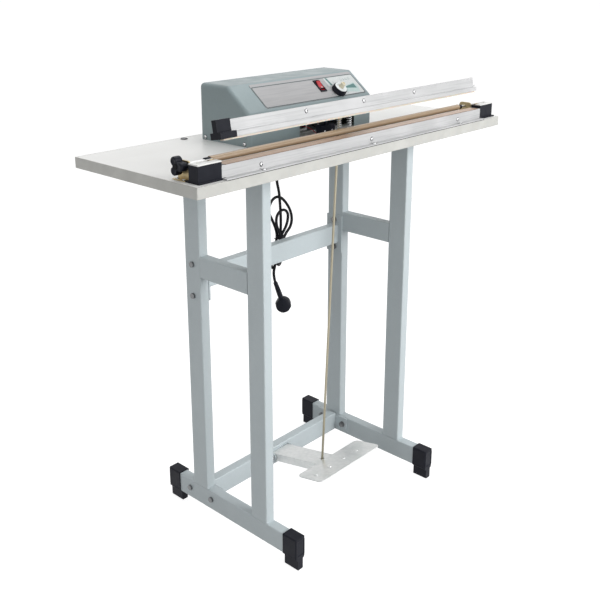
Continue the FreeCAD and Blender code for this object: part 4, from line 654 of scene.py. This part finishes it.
def make_tie():
    """A flat tie pulled round the strands, with its twisted ends."""
    mesh = bmesh.new()
    outlines = []
    for gap in (0.2, 1.3):
        outline = []
        for step in range(40):
            angle = 2 * math.pi * step / 40
            way = Vector((math.cos(angle), math.sin(angle)))
            strand = max(STRANDS, key=lambda s: Vector(s).dot(way))
            outline.append(Vector(strand) + way * (CABLE_RADIUS + gap))
        outlines.append(outline)
    band(mesh, outlines[1], outlines[0], -3.5, 3.5,
         Matrix.Translation(Vector((0, 0, TIE_HEIGHT)) * MM))
    tie = finish_mesh("cable_tie", mesh, "stand", "cord_black")
    left = Vector((42.5, 126.5, TIE_HEIGHT))
    ends = wire("cable_tie_ends", [left, left + Vector((-4, 0.5, 2)), left + Vector((-8, -1, -1)),
                                   left + Vector((-12, 0, 3))], 1.1, "stand", "cord_black")
    return tie, ends


def make_cable_boot():
    """The tapered sleeve that keeps the lead from kinking under its gland."""
    mesh = bmesh.new()
    down = (Vector(LEAD[1]) - Vector(LEAD[0])).normalized()
    profile = [(4.4, 2)]
    for ring in range(6):
        along = 9 + 4.2 * ring
        reach = 6.6 - 0.4 * ring
        profile += [(reach, along), (reach, along + 2.8), (reach - 0.9, along + 3.2),
                    (reach - 0.9, along + 4)]
    profile += [(4.2, 35), (3.7, 36)]
    lathe(mesh, profile, frame_at(LEAD[0], down), 28)
    finish_mesh("cable_boot", mesh, "stand", "black_plastic")


def make_plug():
    """A round moulded plug: a domed rim with nubs, a ribbed sleeve and a faced front."""
    side = Vector((math.cos(PLUG_TURN), -math.sin(PLUG_TURN), 0))
    to_plug = side * math.sin(PLUG_SLANT) - Vector((0, 0, math.cos(PLUG_SLANT)))
    axis = Vector((0, 0, 1)).cross(to_plug).normalized()
    start = Vector(TAIL[-1])
    centre = start + to_plug * PLUG_REACH
    mesh = bmesh.new()
    head = frame_at(centre, -axis, to_plug)

    def nubs(angle):
        return 1 - 0.022 * (0.5 + 0.5 * math.cos(8 * angle))
    lathe(mesh, [(17.5, -13), (18.9, -12.2), (19.5, -10.5), (19.5, -2), (18.7, -1), (18.7, 1),
                 (19.5, 2), (19.5, 8), (18.6, 11), (16.4, 12.6), (12, 13), (11.2, 12.4),
                 (10.4, 12.4)], head, 96, nubs)
    sleeve = frame_at(start, to_plug)
    profile = [(4.2, -0.5)]
    for rib in range(8):
        along = rib * 3.6
        reach = 5.4 + 1.2 * rib / 8
        profile += [(reach, along), (reach, along + 2.4), (reach - 0.7, along + 2.6),
                    (reach - 0.7, along + 3.4)]
    profile += [(6.6, 29.5), (6.6, 46)]
    lathe(mesh, profile, sleeve, 32)
    for degrees in (60, 150, 240, 330):
        nub = head @ Matrix.Rotation(math.radians(degrees), 4, "Z")
        block(mesh, (18.2, -1.8, -8), (20.4, 1.8, 7), nub, 0.6)
    lathe(mesh, [(14, 12), (14, 13.4), (13.4, 13.7), (0.3, 13.7)], head, 48)
    plug = finish_mesh("round_plug", mesh, "stand", "black_plastic")
    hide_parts("mains_plug")
    return plug


# Control panel

def make_panel_print():
    """The plate's printed edge line and the dial's field, tint and plain scale."""
    base = panel_matrix(0, 0)
    mesh = bmesh.new()
    low, high = (-145.6, 8), (189.6, 71)
    inset = 2.2
    band(mesh, rounded_outline(low, high, 4.6),
         rounded_outline((low[0] + inset, low[1] + inset), (high[0] - inset, high[1] - inset),
                         3.4), -0.1, 0.08, base)
    finish_mesh("panel_edge_line", mesh, "stand", "panel_silver", "dark_ink")

    mesh = bmesh.new()
    slab(mesh, rounded_outline((86, 10.5), (187, 68.5), 3), -0.1, 0.05, base, 0.02)
    finish_mesh("dial_field", mesh, "stand", "panel_silver", "field_ink")

    mesh = bmesh.new()
    slab(mesh, [(128, 20), (172, 12), (180, 30), (172, 44), (128, 34)], 0, 0.08, base, 0.02)
    finish_mesh("dial_tint", mesh, "stand", "panel_silver", "tint_ink")

    mesh = bmesh.new()
    slab(mesh, [(94, 45), (100.5, 45), (97.5, 68), (91, 68)], 0, 0.1, base, 0.02)
    slab(mesh, [(134, 30.5), (172, 26), (172, 40.5), (134, 34)], 0, 0.12, base, 0.02)
    scale = panel_matrix(*KNOB)
    for step in range(9):
        angle = math.radians(225 - 30 * step)
        way = Vector((math.cos(angle), math.sin(angle), 0))
        mark = scale @ Matrix.Translation(way * 22.5 * MM) @ Matrix.Rotation(angle, 4, "Z")
        if not -12 < math.degrees(angle) < 12:
            block(mesh, (-2, -0.5, 0), (2, 0.5, 0.12), mark, 0.05)
        place = way * 29
        if -13.5 < place.y < 44 and not (95 < KNOB[0] + place.x < 101):
            lettering(mesh, str(step), 6.5, scale @ Matrix.Translation(place * MM), 0.06)
    for number, x in enumerate((138, 147, 156, 165)):
        block(mesh, (x, 55, 0), (x + 6, 56.2, 0.12), base, 0.05)
        block(mesh, (x, 59, 0), (x + 3 + number, 59.8, 0.12), base, 0.05)
    finish_mesh("dial_print", mesh, "stand", "panel_silver", "green_ink")


def make_rocker_trim():
    """The rocker's dark ends and its two marks, which tilt with it."""
    mesh = bmesh.new()
    for low_end, high_end in ((-11.7, -9.2), (9.2, 11.7)):
        block(mesh, (-7.4, low_end, 0), (7.4, high_end, 3.6), panel_matrix(*SWITCH, 1.6), 0.3)
    finish_mesh("rocker_ends", mesh, "rocker", "black_plastic", "black_and_painted_shade")

    mesh = bmesh.new()
    tilt = math.radians(7)
    rocker = panel_matrix(*SWITCH, 3.3)
    for words, along in (("I", 6), ("O", -6)):
        spot = Matrix.Translation(Vector((0, along, 0.3)) * MM)
        lean = Matrix.Rotation(tilt if along > 0 else -tilt, 4, "X")
        lettering(mesh, words, 5, rocker @ spot @ lean, 0.5)
    finish_mesh("rocker_marks", mesh, "rocker", "rocker_red", "pale_ink")


def make_knob():
    """A fluted skirt with a pale face, and a cream hub held by a small brass screw."""
    base = panel_matrix(*KNOB, 1.8)

    def flutes(angle):
        wave = math.cos(24 * angle)
        return 1 - 0.028 * max(0.0, wave) ** 0.5
    mesh = bmesh.new()
    lathe(mesh, [(16.6, 0), (18, 0.5), (18, 1.6), (17.5, 2.0), (17.2, 9.6), (16.7, 11.6),
                 (15.8, 12.6), (15.2, 12.6)], base, 144, flutes)
    skirt = finish_mesh("knob_skirt", mesh, "timer", "black_plastic", smooth=50)
    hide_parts("timer_knob")
    mesh = bmesh.new()
    lathe(mesh, [(15.2, 12), (15.2, 12.8), (14.8, 13.0), (9, 13.4), (8.4, 13.2), (6.2, 13.2)],
          base, 48)
    finish_mesh("knob_face", mesh, "timer", "hub_cream", "pale_ink")
    mesh = bmesh.new()
    block(mesh, (-0.5, 9.6, 12.9), (0.5, 14.4, 13.1), base, 0.05)
    finish_mesh("knob_pointer", mesh, "timer", "black_plastic", "dark_ink")
    mesh = bmesh.new()
    lathe(mesh, [(6.5, 12.6), (6.5, 13.4), (6.1, 14), (5.6, 22.5), (5.1, 24.2), (4.2, 25),
                 (2.6, 25)], base, 40, lambda angle: 1 - 0.03 * max(0.0, math.cos(10 * angle)))
    hub = finish_mesh("knob_hub", mesh, "timer", "hub_cream", smooth=50)
    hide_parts("timer_knob_hub")
    mesh = bmesh.new()
    lathe(mesh, [(2.5, 24.4), (2.5, 25.3), (2.1, 25.6), (0.2, 25.7)], base, 24)
    finish_mesh("knob_screw", mesh, "timer", "brass_rod")
    # Painted shade: a dark block where the screw's slot is.
    mesh = bmesh.new()
    block(mesh, (-2.1, -0.35, 25.4), (2.1, 0.35, 25.8), base, 0.1)
    finish_mesh("knob_screw_slot_shade", mesh, "timer", "brass_rod", "black_and_painted_shade")


# Jaws, film and their ends

def make_screws():
    """Domed heads with cross recesses on both jaws and on the housing's cover."""
    mesh, marks = bmesh.new(), bmesh.new()
    for number, x in enumerate((-331, 0, 331)):
        foot = frame_at((x, FRONT + 6, TOP + 3), (0, 0, 1))
        face = frame_at((x, FRONT_RIB, TOP + 12), (0, -1, 0))
        pan_head(mesh, marks, foot, *SCREW_HEAD, 0.4 + number)
        pan_head(mesh, marks, face, *SCREW_HEAD, 1 + number)
    heads = finish_screws("bar_screw_heads", "bar_screw_painted_shade", mesh, marks)
    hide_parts("lower_jaw_screws")

    mesh, marks = bmesh.new(), bmesh.new()
    for number, x in enumerate((-190, -10, 170)):
        place = frame_at(opened((x, -187.5, 973.7)), turned_away((0, -1, 0)))
        pan_head(mesh, marks, place, *SCREW_HEAD, 0.7 * number)
    end = frame_at(opened((415, -184.5, 963.2)), (1, 0, 0), (0, 1, 0))
    lathe(mesh, [(2, 0), (2, 7.4), (1.7, 8.6), (0.9, 9)], end, 20)
    heads = finish_screws("press_screw_heads", "press_screw_painted_shade", mesh, marks, "jaw")
    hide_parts("upper_jaw_screws")

    mesh, marks = bmesh.new(), bmesh.new()
    for side in (-1, 1):
        for number, y in enumerate((-19, 104)):
            place = frame_at((204 * side, y, TOP + 6), (side, 0, 0), (0, 1, 0))
            pan_head(mesh, marks, place, *SCREW_HEAD, 0.3 + number)
    heads = finish_screws("cover_screw_heads", "cover_screw_painted_shade", mesh, marks)
    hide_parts("cover_screws")


def make_film():
    """The sheet of coated cloth from the bar's front edge down to its roll."""
    half = FILM_HALF
    edge = Vector((-172, 946.9))
    wound_radius = 7.3
    to_roll = Vector((ROLL.y, ROLL.z)) - edge
    dip = math.asin(wound_radius / to_roll.length)
    heading = math.atan2(to_roll.y, to_roll.x) - dip
    run = Vector((math.cos(heading), math.sin(heading)))
    end = edge + run * to_roll.length * math.cos(dip)
    profile = [Vector((-197, 946.25)), Vector((-196.4, 946.75))]
    profile += [Vector((-196 + 2 * step, 946.85)) for step in range(1, 12)]
    profile += [Vector((-172.6, 946.8)), Vector((-171.7, 946.4))]
    profile += [edge.lerp(end, step / 8) - Vector((0, 0.1)) for step in range(1, 9)]
    mesh = bmesh.new()
    columns = 120
    rows = []
    for y, z in profile:
        row = []
        for step in range(columns + 1):
            x = -half + 2 * half * step / columns
            slack = 0.0 if y < -171 else 0.12 * math.sin(x / 17) * math.sin(x / 41 + 1)
            row.append(mesh.verts.new(Vector((x, y, z + slack)) * MM))
        rows.append(row)
    for low, high in zip(rows, rows[1:]):
        for step in range(columns):
            mesh.faces.new((low[step], low[step + 1], high[step + 1], high[step]))
    film = finish_mesh("film_sheet", mesh, "stand", "ptfe_tan", "film_cloth", 60)
    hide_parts("ptfe_film")


def make_roll():
    """The roll: layers wound a little unevenly, their ends showing as rings."""
    mesh = bmesh.new()
    along = frame_at((-412, ROLL.y, ROLL.z), (1, 0, 0), (0, 1, 0))

    def layers(angle):
        return 1 - 0.03 * (angle / (2 * math.pi))
    profile = [(3.1, 0.6), (4.2, 0.6), (4.4, 0), (5.4, 0.5), (5.7, 0), (6.9, 0.2)]
    for step in range(42):
        x = 1 + 822 * step / 41
        profile.append((7 - 0.06 * (1 + math.sin(x / 23)) - 0.04 * math.sin(x / 7), x))
    profile += [(6.9, 823.8), (5.7, 824), (5.4, 823.5), (4.4, 824), (4.2, 823.4), (3.1, 823.4)]
    lathe(mesh, profile, along, 48, layers)
    roll = finish_mesh("wound_film", mesh, "roll", "ptfe_tan", smooth=50)
    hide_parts("film_roll")


def make_star_knob():
    """Three round lobes on one hub, with eased rims and a threaded insert in the end."""
    lobe_middle, lobe_radius, waist = 11, 8, 8.4

    def lobes(angle):
        nearest = (angle - math.radians(60)) % math.radians(120)
        off = min(nearest, math.radians(120) - nearest)
        inside = lobe_radius ** 2 - (lobe_middle * math.sin(off)) ** 2
        lobe = lobe_middle * math.cos(off) + math.sqrt(inside) if inside > 0 else 0
        return (lobe ** 8 + waist ** 8) ** 0.125 / (lobe_middle + lobe_radius)
    mesh = bmesh.new()
    along = frame_at((-493, ROLL.y, ROLL.z), (1, 0, 0), (0, 1, 0))
    lathe(mesh, [(13, 0.6), (14, 0.2), (16, 0), (17.8, 0.5), (18.8, 1.8), (19, 3.4), (19, 13),
                 (18.6, 15), (17, 16), (12, 16), (9, 16.2)], along, 108, lobes)
    lathe(mesh, [(8, 15.6), (8, 18.4), (7.4, 19), (3.4, 19)], along, 32)
    knob = finish_mesh("lobed_knob", mesh, "roll", "black_plastic", smooth=45)
    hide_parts("star_knob")
    mesh = bmesh.new()
    lathe(mesh, [(5.2, 0), (5.2, 0.9), (4.4, 1.2), (0.3, 1.2)], along, 32)
    finish_mesh("lobed_knob_insert", mesh, "roll", "black_plastic", "black_and_painted_shade")


def make_brackets():
    """The roll's two angle brackets, passivated yellow, with the screws in their feet."""
    half, high, thick, corner, foot = 17, 35, 3, 7, 1.5
    for name, face, side in (("left_bracket", -473, -1), ("right_bracket", 448, 1)):
        mesh = bmesh.new()
        upright = frame_at((face, ROLL.y, TOP), (-side, 0, 0), (0, 1, 0))
        outline = [(-half, 0), (half, 0), (half, high - corner)]
        turn = -1 if upright.col[1].z < 0 else 1
        for start, middle in ((0, half - corner), (90, corner - half)):
            for step in range(7):
                angle = math.radians(start + 90 * step / 6)
                outline.append((middle + corner * math.cos(angle),
                                high - corner + corner * math.sin(angle)))
        outline.append((-half, high - corner))
        slab(mesh, [(y, z * turn) for y, z in outline], 0, thick, upright, 0.4)
        low = (face - 14, face) if side < 0 else (face, face + 14)
        block(mesh, (low[0], ROLL.y - half, TOP), (low[1], ROLL.y + half, TOP + foot))
        piece = finish_mesh(name, mesh, "stand", "brass_rod")
        if side < 0:
            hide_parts("roll_brackets")
        mesh, marks = bmesh.new(), bmesh.new()
        for offset in (-9, 9):
            place = frame_at((face + 8 * side, ROLL.y + offset, TOP + foot), (0, 0, 1))
            pan_head(mesh, marks, place, 3, 1.6, 0.5 + offset)
        finish_screws(name + "_screws", name + "_painted_shade", mesh, marks)


def make_block_fittings():
    """Screws, tabs and strips in the end blocks' slots, and the dark line of painted shadow under
    the bar.
    """
    mesh, marks, strips = bmesh.new(), bmesh.new(), bmesh.new()
    for side in (-1, 1):
        middle = END_BLOCK * side
        for offset in (-7, 7):
            place = frame_at((middle + offset, PRESS_LINE, TOP + 29), (0, 0, 1))
            pan_head(mesh, marks, place, 2.6, 1.6, offset)
        inner = middle - side * 20
        block(strips, (inner - 8, -183.5, TOP + 33.4), (inner + 8, -177.5, TOP + 36), bevel=0.3)
        block(mesh, (inner - 4, -181.6, TOP + 35.6), (inner + 4, -179.4, TOP + 36.8), bevel=0.2)
    finish_screws("clamp_screws", "clamp_painted_shade", mesh, marks, slot="brass_rod")
    finish_mesh("end_insulation", strips, "stand", "ptfe_tan")
    # Painted shadow: a near-black strip along the bar's foot at the table's front edge.
    gap = bmesh.new()
    block(gap, (-BAR_HALF, FRONT - 0.25, TOP - 0.6), (BAR_HALF, FRONT + 2, TOP + 0.5), bevel=0.15)
    finish_mesh("bar_foot_shadow", gap, "stand", "bar_aluminium", "black_and_painted_shade")


# Switch, housing and frame details

def make_springs():
    """The two return springs between the guide plate and the lever, which the jaw presses."""
    turns, steps, reach, foot, height = 9, 14, 5.4, 923.7, 45
    for number, x in enumerate((0, 35)):
        points = []
        for step in range(turns * steps + 1):
            angle = 2 * math.pi * step / steps
            share = step / (turns * steps)
            points.append((x + reach * math.cos(angle), SPRING_LINE + reach * math.sin(angle),
                           foot + height * share))
        coil = wire("coil", points, 0.7, "stand", "spring_steel")
        coil.data.resolution_u = 2
        data = bpy.data.meshes.new_from_object(coil)
        bpy.data.objects.remove(coil)
        spring = bpy.data.objects.new("return_spring_%d" % number, data)
        scene.collection.objects.link(spring)
        for face in data.polygons:
            face.use_smooth = True
        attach(spring, "stand")
        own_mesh(spring)
        if number == 0:
            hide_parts("return_springs")


def make_trigger():
    """The small switch's screws, terminals and wires."""
    mesh, marks = bmesh.new(), bmesh.new()
    for x in (-12, 12):
        pan_head(mesh, marks, frame_at((x, -75, TOP + 14), (0, -1, 0)), 2.6, 1.4, x)
    for x in (-25.5, 25.5):
        pan_head(mesh, marks, frame_at((x, -66.25, TOP + 3), (0, 0, 1)), 2.2, 1.4, x)
    for x in (-14, 0, 14):
        block(mesh, (x - 2, -57.5, TOP + 6), (x + 2, -50, TOP + 7), bevel=0.2)
    finish_screws("trigger_screws", "trigger_painted_shade", mesh, marks)
    for x, slot, lift in ((-14, "rocker_red", 5), (0, "cord_black", 8), (14, "lid_white", 3)):
        wire("trigger_wire_%d" % (x + 14), [
            (x, -51, TOP + 6.5), (x, -45, TOP + 6 + lift), (x + 4, -36, TOP + 8 + lift),
            (x * 1.6, -24, TOP + 22), (x * 2 + 6, -8, TOP + 18)], 0.9, "stand", slot)


def make_housing_lip():
    """A folded lip round the sides and the top of the cover's mouth."""
    mesh = bmesh.new()
    half, near, far, high = 0.8, -34.4, -32.4, TOP + 64.8
    left, right = MOUTH
    for x in MOUTH:
        block(mesh, (x - half, near, TOP), (x + half, far, high), bevel=0.3)
    block(mesh, (left - half, near, high - 2 * half), (right + half, far, high), bevel=0.3)
    finish_mesh("mouth_lip", mesh, "stand", "housing_grey")


def make_welds():
    """Uneven beads where the legs stand on the base tubes and the rails meet the legs."""
    count = 0
    for side in (-1, 1):
        inner, outer = [x * side for x in TUBE_SIDES]
        for leg in (-100, 100):
            for y in (leg - 25.6, leg + 25.6):
                beads = []
                for step in range(7):
                    share = step / 6
                    beads.append((inner + (outer - inner) * (0.1 + 0.8 * share), y, 78.3,
                                  0.8 + 0.45 * math.sin(step * 2.6 + leg + y)))
                wire("weld_%d" % count, beads, 1.3, "stand", "frame_grey")
                count += 1
        for y in (-75.3, 75.3):
            for z in (618, 668):
                beads = [(inner + (outer - inner) * (0.12 + 0.76 * step / 6), y, z,
                          0.8 + 0.4 * math.sin(step * 2.1 + z + y)) for step in range(7)]
                wire("weld_%d" % count, beads, 1.2, "stand", "frame_grey")
                count += 1


def make_bolt_rings():
    """Dark rings of painted shadow under the table bolts' heads."""
    mesh = bmesh.new()
    across, along = TABLE_BOLTS
    for x in (-across, across):
        for y in (-along, along):
            place = frame_at((x, y, TOP), (0, 0, 1))
            lathe(mesh, [(8.2, 0), (8.2, 0.4), (7.4, 0.7), (5.5, 0.7)], place, 32)
    finish_mesh("table_bolt_shadow_rings", mesh, "stand", "zinc_steel", "black_and_painted_shade")


def make_foot_grips():
    """Moulding lines on the foot caps: two seams across each and a rim on its end face."""
    mesh = bmesh.new()
    for side in (-1, 1):
        middle = FOOT_MIDDLE * side
        for end in (-1, 1):
            low, high = sorted(y * end for y in FOOT_ENDS)
            for z in (32, 76.5):
                block(mesh, (middle - 15.3, low + 4, z), (middle + 15.3, high - 2, z + 0.8),
                      bevel=0.2)
            face = frame_at((middle, FOOT_ENDS[1] * end, 55), (0, end, 0))
            band(mesh, rounded_outline((-13.5, -22), (13.5, 22), 3.5),
                 rounded_outline((-10.5, -19), (10.5, 19), 2), -0.2, 0.6, face)
    finish_mesh("cap_seams", mesh, "stand", "cap_black")


# Stage

def set_by_ray(tree, socket, level, seen_level):
    """Gives a socket one level for camera and glossy rays and another for all others."""
    path = tree.nodes.new("ShaderNodeLightPath")
    seen = tree.nodes.new("ShaderNodeMath")
    seen.operation = "MAXIMUM"
    tree.links.new(path.outputs["Is Camera Ray"], seen.inputs[0])
    tree.links.new(path.outputs["Is Glossy Ray"], seen.inputs[1])
    change = tree.nodes.new("ShaderNodeMapRange")
    change.inputs["To Min"].default_value = level
    change.inputs["To Max"].default_value = seen_level
    tree.links.new(seen.outputs["Value"], change.inputs["Value"])
    tree.links.new(change.outputs["Result"], socket)


def make_floor_material():
    """White to the eye, duller to the object, with the object's shadow kept."""
    material = bpy.data.materials.new("floor_white")
    material.use_nodes = True
    tree = material.node_tree
    surface = tree.nodes["Principled BSDF"]
    surface.inputs["Roughness"].default_value = 0.95
    surface.inputs["Specular IOR Level"].default_value = 0.1
    surface.inputs["Emission Color"].default_value = (1, 1, 1, 1)
    set_by_ray(tree, surface.inputs["Base Color"], 0.36, 0.4)
    set_by_ray(tree, surface.inputs["Emission Strength"], 0.0, 0.84)
    return material


def make_stage():
    """A pale floor, whose edge is too far to be seen, and soft studio light."""
    mesh = bmesh.new()
    bmesh.ops.create_grid(mesh, x_segments=1, y_segments=1, size=200)
    data = bpy.data.meshes.new("floor")
    mesh.to_mesh(data)
    mesh.free()
    floor = bpy.data.objects.new("floor", data)
    scene.collection.objects.link(floor)
    data.materials.append(make_floor_material())

    world = bpy.data.worlds.new("studio")
    scene.world = world
    world.use_nodes = True
    tree = world.node_tree
    background = tree.nodes["Background"]
    background.inputs["Color"].default_value = (1, 1, 1, 1)
    set_by_ray(tree, background.inputs["Strength"], 0.42, 1.0)

    for name, place, size, power in (
            ("key", (0.5, -3.2, 1.8), 2.2, 118),
            ("top", (0.6, 0.2, 3.4), 2.4, 36),
            ("left", (-3.2, -0.4, 1.5), 2.0, 22)):
        lamp = bpy.data.lights.new(name, "AREA")
        lamp.size = size
        lamp.energy = power
        holder = bpy.data.objects.new(name, lamp)
        scene.collection.objects.link(holder)
        holder.location = place
        aim = Vector((0, 0, 0.6)) - Vector(place)
        holder.rotation_mode = "QUATERNION"
        holder.rotation_quaternion = aim.to_track_quat("-Z", "Y")


make_camera()
dress_nodes()
cable = make_cable()
tie, tie_ends = make_tie()
plug = make_plug()
make_cable_boot()
make_panel_print()
make_rocker_trim()
make_knob()
make_screws()
make_film()
make_roll()
make_star_knob()
make_brackets()
make_block_fittings()
make_springs()
make_trigger()
make_housing_lip()
make_welds()
make_foot_grips()
make_bolt_rings()
make_stage()
scene.view_settings.view_transform = "Standard"

bpy.context.view_layer.update()
